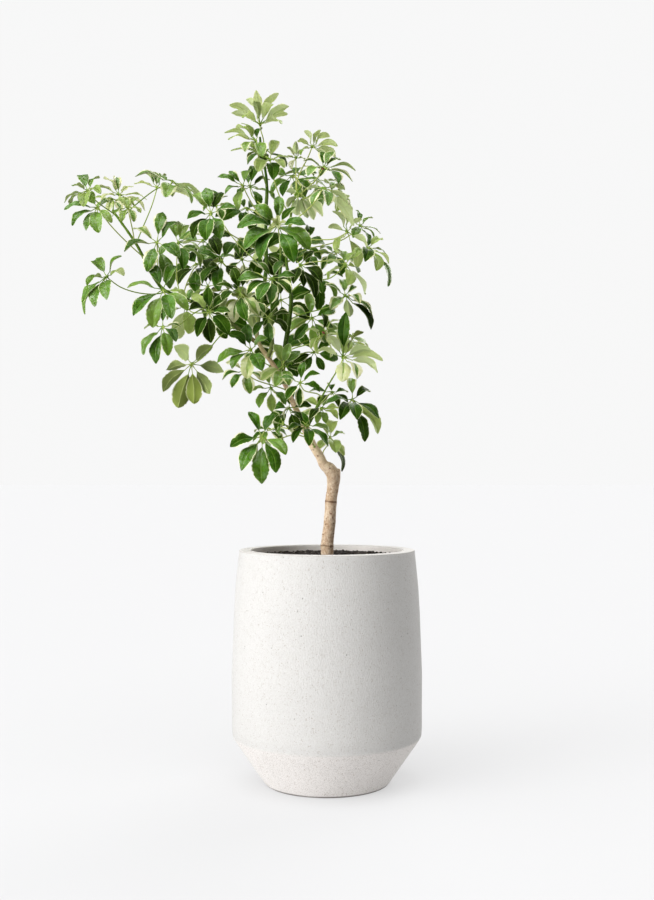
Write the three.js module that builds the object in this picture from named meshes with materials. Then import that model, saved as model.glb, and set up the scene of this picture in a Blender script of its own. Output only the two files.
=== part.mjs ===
// A potted umbrella plant: a cast planter, the soil in it, a bent trunk with four side stems,
// and its compound leaves, each a stalk with a whorl of leaflets at its end.
// Millimetres, +Z up, the front towards -Y. The origin is the centre of the planter's underside.
import * as THREE from "three";

// Driving dimensions
const PLANTER_HEIGHT = 370;
const FOOT_RADIUS = 101;
const FOOT_EDGE = 2.5;
const CREASE_HEIGHT = 76;
const CREASE_RADIUS = 150.5;
const CREASE_SOFTNESS = 7;
const BELLY_RADIUS = 151.5;
const RIM_RADIUS = 140.2;
const RIM_ROUNDING = 4;
const WALL = 19;
const FLOOR_THICKNESS = 22;
const SOIL_BELOW_RIM = 9;
const SOIL_SOCKET_DEPTH = 60;
const TRUNK_RADIUS = 10;
const GAP = 0.3;
const HUB_RADIUS = 3.2;
const HUB_FACE_RADIUS = 2.9;
const HUB_HALF_HEIGHT = 1.3;
const HUB_APEX_RISE = 1.9;
const STALK_RADIUS = 1.3;
const STALK_BASE_RADIUS = 1.9;
const LEAFLET_STALK_SHARE = 0.17;
const LEAFLET_STALK_RADIUS = 0.9;
const LEAFLET_LIFT = 0.3;
const BLADE_WIDTH_SHARE = 0.42;
const BLADE_ARCH_SHARE = 0.09;
const BLADE_FOLD_SHARE = 0.07;
const BLADE_HALF_THICKNESS = 0.7;

// The two full sections of a blade: how far along it each lies, and its share of the full width.
const BLADE_SECTIONS = [
  { at: 0.36, wide: 0.94 },
  { at: 0.74, wide: 0.86 },
];

// The front elevation that the plant is drawn on: its columns and rows are seen from one eye point.
const EYE_DISTANCE = 1800;
const EYE_HEIGHT = 487.5;
const FOCAL_LENGTH = 1125;
const AXIS_COLUMN = 327;
const EYE_ROW = 476;

const vector = (x, y, z) => new THREE.Vector3(x, y, z);

// The point at a column and row of the elevation, at a depth behind the planter's axis.
function place(column, row, depth) {
  const scale = (EYE_DISTANCE + depth) / FOCAL_LENGTH;
  return vector((column - AXIS_COLUMN) * scale, depth, EYE_HEIGHT + (EYE_ROW - row) * scale);
}

function rowOf(point) {
  return EYE_ROW - ((point.z - EYE_HEIGHT) * FOCAL_LENGTH) / (EYE_DISTANCE + point.y);
}

// The part of a direction that is square to an axis, at unit length.
function squareTo(direction, axis) {
  return direction.clone().addScaledVector(axis, -direction.dot(axis)).normalize();
}

// A closed shell built from rings of points. Each ring runs anticlockwise about the way it travels.
class Shell {
  constructor() {
    this.points = [];
    this.faces = [];
  }

  add(point) {
    return this.points.push(point) - 1;
  }

  ring(points) {
    return points.map((point) => this.add(point));
  }

  bridge(from, to) {
    from.forEach((start, i) => {
      const next = (i + 1) % from.length;
      this.faces.push(start, from[next], to[next], start, to[next], to[i]);
    });
  }

  close(ring, centre) {
    ring.forEach((start, i) => this.faces.push(centre, start, ring[(i + 1) % ring.length]));
  }

  open(ring, centre) {
    ring.forEach((start, i) => this.faces.push(centre, ring[(i + 1) % ring.length], start));
  }

  // Joins two rings of different counts by always closing the shorter diagonal.
  knit(from, to) {
    const at = (ring, i) => this.points[ring[i % ring.length]];
    const nearest = to.map((_, i) => at(to, i).distanceTo(at(from, 0)));
    const offset = nearest.indexOf(Math.min(...nearest));
    const turned = [...to.slice(offset), ...to.slice(0, offset)];
    let i = 0;
    let j = 0;
    while (i < from.length || j < turned.length) {
      const alongFrom = at(from, i + 1).distanceTo(at(turned, j));
      const alongTo = at(from, i).distanceTo(at(turned, j + 1));
      const a = from[i % from.length];
      const b = turned[j % turned.length];
      if (j >= turned.length || (i < from.length && alongFrom <= alongTo)) {
        i += 1;
        this.faces.push(a, from[i % from.length], b);
      } else {
        j += 1;
        this.faces.push(a, turned[j % turned.length], b);
      }
    }
  }

  geometry() {
    const made = new THREE.BufferGeometry().setFromPoints(this.points);
    made.setIndex(this.faces);
    made.computeVertexNormals();
    return made;
  }
}

// Points round a centre, in the plane of two square directions.
function circle(centre, first, second, radius, sides) {
  return Array.from({ length: sides }, (_, i) => {
    const angle = (2 * Math.PI * i) / sides;
    return centre
      .clone()
      .addScaledVector(first, radius * Math.cos(angle))
      .addScaledVector(second, radius * Math.sin(angle));
  });
}

// The directions along a row of points, and one square to each that turns as little as it can.
function framesAlong(points, firstSide) {
  let side = firstSide;
  return points.map((point, i) => {
    const before = points[Math.max(i - 1, 0)];
    const after = points[Math.min(i + 1, points.length - 1)];
    const along = after.clone().sub(before).normalize();
    side = squareTo(side, along);
    return { point, along, side, across: along.clone().cross(side) };
  });
}

// Where pieces are: small balls spread over each surface, kept by the cell that they lie in.
const CELL = 6;
const CELLS_ACROSS = 1024;
const SPREAD = 3;
const BALL_RADIUS = 2.1;
const BALLS_BELOW_SKIN = 1;
const LEAST_BALLS_AROUND = 4;
const NEAR_CELLS = [-1, 0, 1].flatMap((x) => [-1, 0, 1].flatMap((y) => [-1, 0, 1].map((z) => [x, y, z])));

class Room {
  constructor() {
    this.cells = new Map();
  }

  // The key of the cell that lies some cells away from a ball's own.
  key(ball, [right, back, up]) {
    const [x, y, z] = [ball.x, ball.y, ball.z].map((value) => Math.floor(value / CELL));
    return ((x + right) * CELLS_ACROSS + y + back) * CELLS_ACROSS + z + up;
  }

  fill(balls, owner) {
    for (const ball of balls) {
      const key = this.key(ball, [0, 0, 0]);
      if (!this.cells.has(key)) this.cells.set(key, []);
      this.cells.get(key).push({ ball, owner });
    }
  }

  isNear(ball, owner, reach) {
    return NEAR_CELLS.some((step) =>
      this.cells
        .get(this.key(ball, step))
        ?.some((other) => other.owner !== owner && other.ball.distanceTo(ball) < reach),
    );
  }

  // How many of the balls come within the reach of another piece's balls.
  hits(balls, owner, reach = 2 * BALL_RADIUS) {
    return balls.filter((ball) => this.isNear(ball, owner, reach)).length;
  }
}

const room = new Room();

// Balls over a tube's surface, from its frames and radii.
function ballsOfTube(frames, radii) {
  const balls = [];
  for (let i = 0; i + 1 < frames.length; i += 1) {
    const steps = Math.ceil(frames[i].point.distanceTo(frames[i + 1].point) / SPREAD);
    for (let step = 0; step < steps; step += 1) {
      const centre = frames[i].point.clone().lerp(frames[i + 1].point, step / steps);
      const radius = THREE.MathUtils.lerp(radii[i], radii[i + 1], step / steps);
      const around = Math.ceil((2 * Math.PI * radius) / SPREAD);
      const { side, across } = frames[i];
      const ring = circle(centre, side, across, radius - BALLS_BELOW_SKIN, around);
      balls.push(...(around < LEAST_BALLS_AROUND ? [centre] : ring));
    }
  }
  return balls;
}

const plant = new THREE.Group();
plant.name = "potted_umbrella_plant";

function addMesh(name, geometry, material) {
  const mesh = new THREE.Mesh(geometry, material);
  mesh.name = name;
  plant.add(mesh);
  return mesh;
}

function finish(color, roughness) {
  return new THREE.MeshStandardMaterial({ color, roughness, metalness: 0 });
}

const CAST_STONE = finish(0xe9e6e0, 0.9);
const SOIL = finish(0x3a2f27, 1);
const BARK = finish(0xa98c69, 0.85);
const GREEN_STEM = finish(0x5f6b35, 0.6);
const LEAF = finish(0x3f7a2c, 0.4);

// Turns a profile of radius and height pairs round the upright axis.
function turned(profile, segments) {
  const points = profile.map(([radius, height]) => new THREE.Vector2(radius, height));
  return new THREE.LatheGeometry(points, segments).rotateX(Math.PI / 2);
}

// The planter: a chamfered foot, a soft crease and a side that leans in to a flat rim. Its inside
// follows the outside at the thickness of the wall.
const RIM_BEVEL = 0.3 * RIM_ROUNDING;
const OUTER_SIDE = [
  [FOOT_RADIUS - FOOT_EDGE, 0],
  [FOOT_RADIUS, FOOT_EDGE],
  [CREASE_RADIUS - 0.6 * CREASE_SOFTNESS, CREASE_HEIGHT - CREASE_SOFTNESS],
  [CREASE_RADIUS, CREASE_HEIGHT],
  [BELLY_RADIUS, 90],
  [BELLY_RADIUS, 172],
  [148.3, 267],
  [145.5, 315],
  [RIM_RADIUS, PLANTER_HEIGHT - RIM_ROUNDING],
  [RIM_RADIUS - RIM_BEVEL, PLANTER_HEIGHT - RIM_BEVEL],
  [RIM_RADIUS - RIM_ROUNDING, PLANTER_HEIGHT],
];
const INNER_HEIGHTS = [84, 172, 262, 315];
const PLANTER_SEGMENTS = 48;
const SOIL_SEGMENTS = 36;

function outerRadiusAt(height) {
  const upper = OUTER_SIDE.findIndex(([, level]) => level > height);
  const [[footRadius, foot], [topRadius, top]] = OUTER_SIDE.slice(upper - 1, upper + 1);
  return THREE.MathUtils.mapLinear(height, foot, top, footRadius, topRadius);
}

const innerRadiusAt = (height) => outerRadiusAt(height) - WALL;
const innerSide = [FLOOR_THICKNESS, ...INNER_HEIGHTS].map((height) => [innerRadiusAt(height), height]);
const planterProfile = [
  [0, 0],
  ...OUTER_SIDE,
  [RIM_RADIUS - WALL, PLANTER_HEIGHT],
  ...innerSide.reverse(),
  [0, FLOOR_THICKNESS],
];
addMesh("planter", turned(planterProfile, PLANTER_SEGMENTS), CAST_STONE);

// The soil fills the planter to just under its rim, with a socket for the foot of the trunk.
const SOIL_TOP = PLANTER_HEIGHT - SOIL_BELOW_RIM;
const SOIL_FOOT = FLOOR_THICKNESS + GAP;
const TRUNK_FOOT = SOIL_TOP - SOIL_SOCKET_DEPTH;
const WALL_GAP = 2 * GAP;
const SOIL_EDGE_DROP = 3;
const SOIL_SWELL = 1.5;
const SOCKET_RADIUS = TRUNK_RADIUS + GAP;

const soilSide = [SOIL_FOOT, ...INNER_HEIGHTS, SOIL_TOP - SOIL_EDGE_DROP].map((height) => [
  innerRadiusAt(height) - WALL_GAP,
  height,
]);
const soilProfile = [
  [0, SOIL_FOOT],
  ...soilSide,
  [108, SOIL_TOP],
  [60, SOIL_TOP + SOIL_SWELL],
  [22, SOIL_TOP],
  [SOCKET_RADIUS, SOIL_TOP + 1],
  [SOCKET_RADIUS, TRUNK_FOOT - GAP],
  [0, TRUNK_FOOT - GAP],
];
addMesh("soil", turned(soilProfile, SOIL_SEGMENTS), SOIL);

// The stems. Each course is a list of column, row, depth and radius along its middle.
const stems = {};

// Even steps along a smooth curve through the knots, with the radius at each.
function coursePoints(knots, widths, steps) {
  const curve = new THREE.CatmullRomCurve3(knots, false, "centripetal");
  const points = curve.getPoints(steps);
  const radii = points.map((_, i) => {
    const spot = (i / steps) * (knots.length - 1);
    const before = Math.min(Math.floor(spot), knots.length - 2);
    return THREE.MathUtils.lerp(widths[before], widths[before + 1], spot - before);
  });
  return { points, radii };
}

function buildStem(name, frames, radii, sides, material, foot) {
  const shell = new Shell();
  const rings = frames.map(({ point, side, across }, i) => {
    const section = i === 0 && foot ? foot : { side, across };
    return shell.ring(circle(point, section.side, section.across, radii[i], sides));
  });
  for (let i = 0; i + 1 < rings.length; i += 1) shell.bridge(rings[i], rings[i + 1]);
  shell.open(rings[0], shell.add(frames[0].point));
  shell.close(rings.at(-1), shell.add(frames.at(-1).point));
  addMesh(name, shell.geometry(), material);
  room.fill(ballsOfTube(frames, radii), name);
  stems[name] = { frames, radii };
}

// The spot on a stem at a row of the elevation: its middle, its direction and its radius there.
function spotOn(name, row) {
  const { frames, radii } = stems[name];
  const rows = frames.map(({ point }) => rowOf(point));
  const after = Math.max(1, rows.findIndex((value) => value <= row));
  const share = THREE.MathUtils.clamp(THREE.MathUtils.inverseLerp(rows[after - 1], rows[after], row), 0, 1);
  return {
    middle: frames[after - 1].point.clone().lerp(frames[after].point, share),
    along: frames[after].point.clone().sub(frames[after - 1].point).normalize(),
    radius: THREE.MathUtils.lerp(radii[after - 1], radii[after], share),
  };
}

// Where something that grows from a stem towards a point starts, just clear of the bark.
function seatOn(name, row, towards) {
  const { middle, along, radius } = spotOn(name, row);
  const out = squareTo(towards.clone().sub(middle), along);
  return { start: middle.addScaledVector(out, radius + GAP), out, along };
}

// The trunk stands upright in the soil, bends right, then leans left to the fork and up to the top.
const TRUNK_COURSE = [
  [327, 545, 0, 9.9],
  [328.9, 530, 0, 9.5],
  [330.2, 515, -1, 9.2],
  [331.2, 500, -2, 9.1],
  [332.9, 487, -3, 9.4],
  [333.6, 478, -4, 10.8],
  [332, 470.5, -6, 11],
  [325.5, 464.5, -8, 8.2],
  [320.5, 457.5, -9, 7.2],
  [315.5, 449.5, -10, 6.8],
  [311, 442, -10, 6.6],
  [307.5, 434, -10, 6.4],
  [304, 425, -10, 5.8],
  [299, 415, -10, 5],
  [294.5, 406, -10, 4.4],
  [289, 394, -9, 3.9],
  [284, 383, -8, 3.8],
  [278.5, 373, -5, 3.7],
  [270, 360, -2, 3.6],
  [262, 349, 0, 3.5],
  [257, 336, 3, 3.4],
  [258, 322, 6, 3.3],
  [262, 300, 10, 3.2],
  [266, 270, 12, 3],
  [266, 240, 12, 2.8],
  [266, 205, 8, 2.5],
  [267, 180, 5, 2.3],
  [262, 156, 0, 2.1],
  [260, 138, -4, 1.8],
];
const TRUNK_STEPS = 36;
const TRUNK_SIDES = 10;
const COLLAR_RISE = 2;
const STEM_SIDES = 8;
const STEPS_PER_KNOT = 2;

// The trunk's foot is an upright round in the soil's socket, and its course starts above the soil.
function addTrunk() {
  const upright = { along: vector(0, 0, 1), side: vector(1, 0, 0), across: vector(0, 1, 0) };
  const collar = vector(0, 0, SOIL_TOP + COLLAR_RISE);
  const knots = [collar, ...TRUNK_COURSE.map(([column, row, depth]) => place(column, row, depth))];
  const widths = [TRUNK_RADIUS, ...TRUNK_COURSE.map((knot) => knot[3])];
  const { points, radii } = coursePoints(knots, widths, TRUNK_STEPS);
  const frames = framesAlong([vector(0, 0, TRUNK_FOOT), ...points], upright.side);
  Object.assign(frames[0], upright);
  Object.assign(frames[1], upright);
  buildStem("trunk", frames, [TRUNK_RADIUS, ...radii], TRUNK_SIDES, BARK);
}

// A side stem: where it leaves its parent, and its course from there.
function addSideStem(name, parent, row, course, material) {
  const knots = course.map(([column, line, depth]) => place(column, line, depth));
  const seat = seatOn(parent, row, knots[0]);
  const widths = [course[0][3], ...course.map((knot) => knot[3])];
  const { points, radii } = coursePoints([seat.start, ...knots], widths, course.length * STEPS_PER_KNOT);
  const frames = framesAlong(points, seat.along);
  const foot = { side: seat.along, across: seat.out.clone().cross(seat.along) };
  buildStem(name, frames, radii, STEM_SIDES, material, foot);
}

addTrunk();
addSideStem(
  "stem_front",
  "trunk",
  357,
  [
    [272, 344, -18, 3.6],
    [271, 320, -34, 3.2],
    [276, 303, -46, 2.8],
    [280, 275, -64, 2.4],
    [281, 252, -78, 2.1],
  ],
  BARK,
);
addSideStem(
  "stem_right",
  "trunk",
  376,
  [
    [284, 355, -6, 4],
    [287, 335, -6, 3.8],
    [291, 305, -6, 3.5],
    [290, 285, -4, 3.2],
    [286.5, 262, 0, 3],
    [288, 240, 0, 2.8],
    [291, 215, -4, 2.5],
    [295, 196, -6, 2.2],
    [301, 187, -6, 1.9],
  ],
  GREEN_STEM,
);
addSideStem(
  "stem_left",
  "trunk",
  342,
  [
    [240, 330, 8, 3.2],
    [215, 312, 10, 3],
    [185, 299, 6, 2.8],
    [163, 289, 0, 2.6],
    [150, 270, -6, 2.4],
    [138, 247, -10, 2.2],
    [126, 229, -12, 2],
    [113, 211, -14, 1.8],
  ],
  GREEN_STEM,
);
addSideStem(
  "stem_low_right",
  "trunk",
  427,
  [
    [312, 417, -26, 3.2],
    [318, 405, -38, 3],
    [325, 391, -52, 2.5],
    [335, 374, -68, 2.1],
    [342, 363, -78, 1.8],
  ],
  GREEN_STEM,
);

// One compound leaf a row: its name; the column, row and depth of its hub; the way that its upper
// side faces (right, to the front, up); the length of a leaflet with its stalk; the stem that it
// grows from and the row there; and then the column and row of each leaflet's tip, with how much
// of the length that doesn't show leans to the front (1) or to the back (-1).
const LEAVES = [
  ["leaf_top_1", [260, 125, -6], [0, -0.5, 0.85], 64, "trunk", 146, [
    [229, 105, 0.6], [231, 113, -0.7], [246, 100, -0.9], [254, 101, 0.9], [256, 90, 0.2], [279, 93, -0.4],
    [272, 104, 0.9], [289, 106, 0.4], [288, 114, -0.8], [281, 124, 1], [243, 118, 1],
  ]],
  ["leaf_top_2", [256, 141, -50], [-0.1, 0.1, 0.95], 50, "trunk", 186, [
    [241, 123, -0.4], [224, 133, 0.3], [228, 140, 0.9], [262, 129, -0.6], [245, 152, 0.8], [236, 128, -0.9],
    [262, 157, 0.9],
  ]],
  ["leaf_top_3", [270, 160, -34], [0, 0.3, 0.95], 60, "stem_right", 214, [
    [251, 142, -0.3], [275, 140, -0.6], [230, 151, 0.2], [240, 145, -0.8], [284, 168, 0.8], [289, 158, -0.3],
    [273, 180, 0.8], [258, 172, 0.9],
  ]],
  ["leaf_upper_1", [243, 186, -34], [-0.2, 0.7, 0.7], 48, "trunk", 222, [
    [217, 177, 0.3], [229, 171, -0.4], [238, 210, 0.5], [225, 194, 0.6], [250, 170, -0.6], [258, 190, -0.5],
  ]],
  ["leaf_upper_2", [250, 187, 50], [0.2, 0.3, 0.9], 50, "trunk", 208, [
    [259, 208, 0.5], [275, 201, 0.3], [254, 166, -0.7], [270, 180, -0.6], [238, 198, 0.6], [242, 174, -0.8],
  ]],
  ["leaf_right_top_1", [296, 158, 64], [0, -0.3, 0.95], 34, "stem_right", 193, [
    [287, 147, 0.3], [296, 141, -0.4], [304, 150, -0.2], [284, 158, 0.5], [306, 161, 0.6], [292, 170, 0.8],
  ]],
  ["leaf_right_top_2", [312, 147, 6], [0.1, -0.5, 0.85], 48, "stem_right", 191, [
    [304, 131, -0.3], [321, 130, -0.3], [338, 146, 0.3], [326, 159, 0.8], [336, 158, -0.3], [301, 155, 0.7],
    [297, 141, 0.3], [330, 137, -0.8],
  ]],
  ["leaf_right_top_3", [323, 168, -50], [0.2, 0.1, 1], 56, "stem_right", 198, [
    [303, 161, 0.3], [321, 152, -0.7], [341, 160, -0.5], [356, 171, 0.2], [353, 182, 0.6], [338, 184, 0.9],
    [308, 176, 0.9], [334, 152, -0.8],
  ]],
  ["leaf_right_top_4", [317, 180, 78], [-0.2, 0.2, 0.95], 58, "stem_right", 204, [
    [303, 166, -0.6], [279, 178, 0.2], [291, 195, 0.5], [305, 200, 0.8], [330, 171, -0.8], [345, 190, 0.3],
    [322, 208, 0.6],
  ]],
  ["leaf_right_top_5", [323, 188, -92], [0.2, -0.3, 0.9], 56, "stem_right", 226, [
    [328, 206, 0.9], [336, 211, 0.6], [349, 205, 0.4], [345, 190, -0.4], [312, 205, 0.8], [307, 190, -0.3],
    [354, 226, 0],
  ]],
  ["leaf_right_top_6", [299, 193, -50], [0, -0.7, 0.7], 54, "stem_right", 207, [
    [308, 218, 0.4], [314, 220, -0.5], [323, 216, 0.2], [296, 215, 0.7], [287, 207, 0.2], [286, 192, -0.4],
  ]],
  ["leaf_right_1", [347, 232, -28], [0.1, -0.5, 0.85], 60, "stem_right", 244, [
    [332, 211, -0.2], [342, 205, -0.4], [357, 269, 0.2], [367, 248, 0.6], [338, 253, 0.7], [362, 220, -0.5],
    [328, 227, 0.1],
  ]],
  ["leaf_right_2", [360, 226, 64], [0.3, 0.1, 0.95], 42, "stem_right", 256, [
    [374, 238, 0.4], [381, 234, -0.2], [368, 246, 0.7], [373, 218, -0.5], [356, 210, -0.6], [346, 221, -0.3],
    [353, 238, 0.9],
  ]],
  ["leaf_right_3", [368, 248, -50], [0.4, 0.2, 0.9], 58, "stem_right", 273, [
    [365, 262, 0.9], [386, 254, 0.4], [389, 264, -0.4], [388, 287, 0.1], [376, 271, 0.6], [352, 258, 0.5],
    [382, 240, -0.6], [360, 238, -0.8],
  ]],
  ["leaf_right_4", [345, 265, -114], [0.2, -0.3, 0.9], 56, "stem_right", 292, [
    [348, 285, 0.8], [358, 273, 0.8], [365, 295, 0.2], [328, 280, 0.5], [326, 262, 0], [338, 250, -0.7],
    [356, 252, -0.6],
  ]],
  ["leaf_right_5", [345, 296, -14], [0.2, 0.5, 0.8], 66, "stem_right", 318, [
    [324, 285, 0.1], [371, 330, 0.2], [372, 318, -0.4], [360, 304, 0.8], [350, 317, 0.8], [330, 310, 0.6],
    [340, 280, -0.7], [356, 286, -0.6],
  ]],
  ["leaf_inner_right_1", [300, 265, -64], [0.1, 0.6, 0.7], 56, "stem_right", 283, [
    [293, 284, 0.7], [322, 283, 0.3], [315, 298, 0.2], [304, 287, 0.8], [318, 268, -0.3], [314, 252, -0.4],
    [288, 254, -0.5],
  ]],
  ["leaf_inner_right_2", [319, 276, 92], [0.1, 0.3, 0.9], 58, "stem_right", 300, [
    [323, 294, 0.8], [318, 311, 0.2], [335, 300, 0.4], [343, 277, 0.2], [329, 256, -0.5], [306, 257, -0.6],
    [299, 281, 0.3],
  ]],
  ["leaf_inner_right_3", [324, 333, -28], [0, -0.3, 0.9], 48, "stem_right", 351, [
    [318, 354, 0.5], [330, 358, 0.5], [305, 331, 0.2], [311, 349, 0.7], [322, 314, -0.4], [339, 320, -0.4],
    [341, 339, 0.3],
  ]],
  ["leaf_low_right_1", [343, 358, -92], [0.1, -0.4, 0.85], 76, "stem_low_right", 371, [
    [328, 336, 0.4], [337, 330, -0.7], [371, 350, 0.5], [346, 312, 0.1], [357, 379, 0.8], [378, 373, 0.2],
    [383, 361, -0.2], [342, 382, 0.9], [316, 352, 0.2], [364, 332, -0.6],
  ]],
  ["leaf_low_right_2", [352, 400, -64], [0.2, 0.6, 0.8], 68, "stem_low_right", 408, [
    [326, 404, 0.5], [357, 420, 0.9], [365, 442, 0.2], [379, 419, 0.4], [378, 434, -0.1], [340, 420, 0.8],
    [352, 378, -0.6], [370, 392, -0.5],
  ]],
  ["leaf_low_right_3", [330, 438, 34], [0.1, 0.2, 1], 58, "trunk", 457, [
    [342, 472, 0.1], [344, 456, 0.6], [336, 453, 0.9], [318, 450, 0.6], [318, 426, -0.6], [345, 434, -0.4],
    [334, 421, -0.8],
  ]],
  ["leaf_low_left_1", [262, 437, -134], [0.1, 0.7, 0.7], 76, "trunk", 437, [
    [248, 412, -0.1], [230, 447, 0.4], [241, 471, 0.4], [262, 484, 0.4], [276, 473, 0.5], [286, 455, 0.5],
    [255, 459, -0.6], [269, 460, -0.6], [274, 414, -0.4],
  ]],
  ["leaf_low_left_2", [284, 423, -82], [-0.2, -0.3, 0.9], 36, "trunk", 428, [
    [267, 428, 0.2], [280, 436, 0.7], [273, 411, -0.4], [289, 407, -0.6], [293, 434, -0.4],
  ]],
  ["leaf_low_left_3", [306, 425, -72], [0, 0.6, 0.8], 52, "trunk", 447, [
    [293, 443, 0.5], [328, 447, 0.4], [331, 434, -0.3], [291, 412, -0.3], [288, 430, 0.3], [309, 446, 0.9],
    [319, 408, -0.5],
  ]],
  ["leaf_front_1", [278, 226, -150], [-0.1, 0.8, 0.6], 74, "stem_front", 254, [
    [237, 228, 0.5], [255, 205, 0.1], [244, 249, 0.6], [260, 261, 0.6], [294, 263, 0.6], [309, 250, 0.5],
    [306, 225, 0.4], [278, 196, -0.1], [296, 207, 0.1],
  ]],
  ["leaf_front_2", [272, 279, -150], [0, 0.7, 0.7], 56, "stem_front", 303, [
    [237, 280, 0.3], [247, 295, 0.5], [258, 300, 0.7], [270, 304, 0.6], [291, 295, 0.6], [296, 276, 0.3],
    [257, 262, -0.1], [284, 262, -0.2],
  ]],
  ["leaf_front_3", [240, 293, -122], [-0.1, 0.7, 0.7], 58, "trunk", 325, [
    [222, 301, 0.6], [234, 323, 0.5], [259, 316, 0.5], [216, 285, 0.1], [252, 268, -0.3], [232, 268, -0.3],
    [247, 321, 0.8],
  ]],
  ["leaf_front_4", [268, 318, -108], [0, 0.6, 0.8], 48, "stem_front", 330, [
    [243, 320, 0.3], [254, 336, 0.6], [270, 343, 0.6], [286, 332, 0.4], [290, 313, 0.1], [279, 300, -0.5],
    [255, 303, -0.4],
  ]],
  ["leaf_middle_1", [251, 350, -122], [-0.2, 0.7, 0.7], 58, "trunk", 374, [
    [217, 363, 0.2], [232, 369, 0.6], [228, 334, 0.1], [262, 371, 0.7], [246, 325, -0.3], [268, 338, 0.1],
    [247, 379, 0.6],
  ]],
  ["leaf_middle_2", [245, 371, -58], [-0.1, 0.6, 0.8], 48, "trunk", 389, [
    [222, 380, 0.3], [232, 388, 0.7], [250, 394, 0.6], [264, 381, 0.3], [226, 362, -0.4], [252, 353, -0.7],
  ]],
  ["leaf_middle_3", [283, 367, -102], [0.1, 0.7, 0.7], 48, "stem_right", 362, [
    [261, 380, 0.2], [300, 351, -0.2], [306, 371, 0.3], [289, 386, 0.8], [275, 387, 0.7], [275, 344, -0.2],
    [290, 343, 0.3],
  ]],
  ["leaf_middle_4", [271, 388, -44], [0, 0.6, 0.8], 44, "trunk", 399, [
    [259, 408, 0.3], [249, 393, 0.2], [272, 412, 0.5], [286, 405, 0.4], [288, 385, -0.2], [263, 370, -0.5],
  ]],
  ["leaf_middle_5", [300, 383, -134], [0.1, 0.6, 0.8], 46, "stem_low_right", 396, [
    [299, 407, 0.3], [320, 392, 0.3], [286, 400, 0.5], [305, 362, -0.1], [320, 374, 0.1], [280, 378, 0.2],
  ]],
  ["leaf_inner_left_1", [211, 214, -50], [0, 0.6, 0.8], 58, "trunk", 256, [
    [193, 239, 0.4], [221, 239, 0.7], [192, 194, -0.4], [187, 219, 0.4], [236, 208, 0.3], [206, 241, 0.7],
    [222, 192, -0.6], [205, 188, -0.7],
  ]],
  ["leaf_inner_left_2", [216, 206, 50], [0, 0.1, 1], 40, "trunk", 268, [
    [213, 190, -0.5], [228, 196, -0.5], [232, 207, 0.3], [222, 220, 0.8], [203, 199, -0.6], [203, 211, 0.6],
  ]],
  ["leaf_inner_left_3", [186, 305, 92], [0, -0.3, 0.9], 60, "stem_left", 312, [
    [179, 339, 0.3], [188, 334, 0.8], [204, 318, 0.6], [167, 320, 0.5], [198, 288, -0.6], [174, 290, -0.8],
    [205, 300, -0.4],
  ]],
  ["leaf_inner_left_4", [208, 287, 50], [0, 0.4, 0.9], 54, "stem_left", 318, [
    [192, 302, 0.4], [186, 286, -0.4], [199, 268, -0.7], [218, 269, -0.8], [230, 285, 0.3], [217, 308, 0.7],
    [203, 310, 0.6],
  ]],
  ["leaf_inner_left_5", [209, 312, -140], [0, 0.8, 0.6], 54, "stem_left", 322, [
    [189, 310, 0.5], [208, 287, 0.1], [197, 337, 0.6], [211, 343, 0.5], [229, 335, 0.5], [230, 312, 0.5],
    [192, 296, 0.1], [226, 297, 0.1],
  ]],
  ["leaf_inner_left_6", [192, 364, -14], [-0.1, -0.8, 0.5], 76, "stem_left", 326, [
    [166, 370, -0.3], [163, 392, 0.3], [178, 408, 0.2], [194, 404, 0.3], [210, 394, 0.2], [224, 372, -0.3],
    [213, 346, -0.5], [174, 346, -0.6],
  ]],
  ["leaf_inner_left_7", [222, 262, -20], [-0.2, 0.5, 0.85], 60, "trunk", 288, [
    [219, 291, 0.5], [240, 283, 0.5], [202, 284, 0.4], [198, 254, -0.2], [212, 238, -0.6], [235, 243, -0.6],
    [207, 268, 0.8],
  ]],
  ["leaf_inner_left_8", [242, 260, 78], [0, 0.3, 0.95], 52, "trunk", 277, [
    [227, 243, -0.4], [219, 258, 0.3], [245, 238, -0.7], [261, 250, -0.5], [262, 269, 0.3], [247, 284, 0.5],
    [230, 275, 0.6],
  ]],
  ["leaf_left_1", [157, 188, 50], [0.1, -0.2, 1], 56, "stem_left", 243, [
    [141, 172, -0.4], [134, 184, 0.2], [155, 174, -0.8], [172, 197, 0.8], [167, 175, -0.8], [192, 198, 0.3],
    [204, 198, -0.1],
  ]],
  ["leaf_left_2", [157, 243, -78], [0, 0.6, 0.8], 74, "stem_left", 283, [
    [124, 252, 0.4], [133, 229, -0.3], [147, 272, 0.6], [170, 289, 0.4], [163, 212, -0.5], [180, 258, 0.6],
    [181, 224, -0.5],
  ]],
  ["leaf_left_3", [178, 243, 34], [0.2, 0.3, 0.9], 60, "stem_left", 297, [
    [186, 225, -0.7], [199, 250, 0.6], [200, 268, 0.3], [183, 270, 0.8], [160, 256, 0.5], [168, 224, -0.7],
    [201, 235, -0.4],
  ]],
  ["leaf_left_4", [107, 277, -34], [-0.2, 0.4, 0.9], 66, "stem_left", 291, [
    [122, 256, 0.2], [87, 286, 0.7], [82, 303, 0.4], [85, 315, -0.2], [95, 307, 0.8], [107, 300, 0.9],
    [124, 276, -0.8], [95, 260, -0.6],
  ]],
  ["leaf_left_5", [163, 290, -108], [0, 0.6, 0.8], 68, "stem_left", 301, [
    [127, 288, 0.4], [133, 316, 0.5], [153, 328, 0.5], [172, 319, 0.8], [188, 311, 0.4], [188, 297, 0.1],
    [149, 264, -0.4], [176, 266, -0.5],
  ]],
  ["leaf_left_6", [163, 327, -50], [0, 0.5, 0.85], 60, "stem_left", 307, [
    [143, 355, 0.3], [156, 364, 0.5], [168, 356, 0.8], [176, 342, 0.7], [181, 327, 0.1], [163, 306, -0.6],
    [144, 329, -0.2],
  ]],
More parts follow.
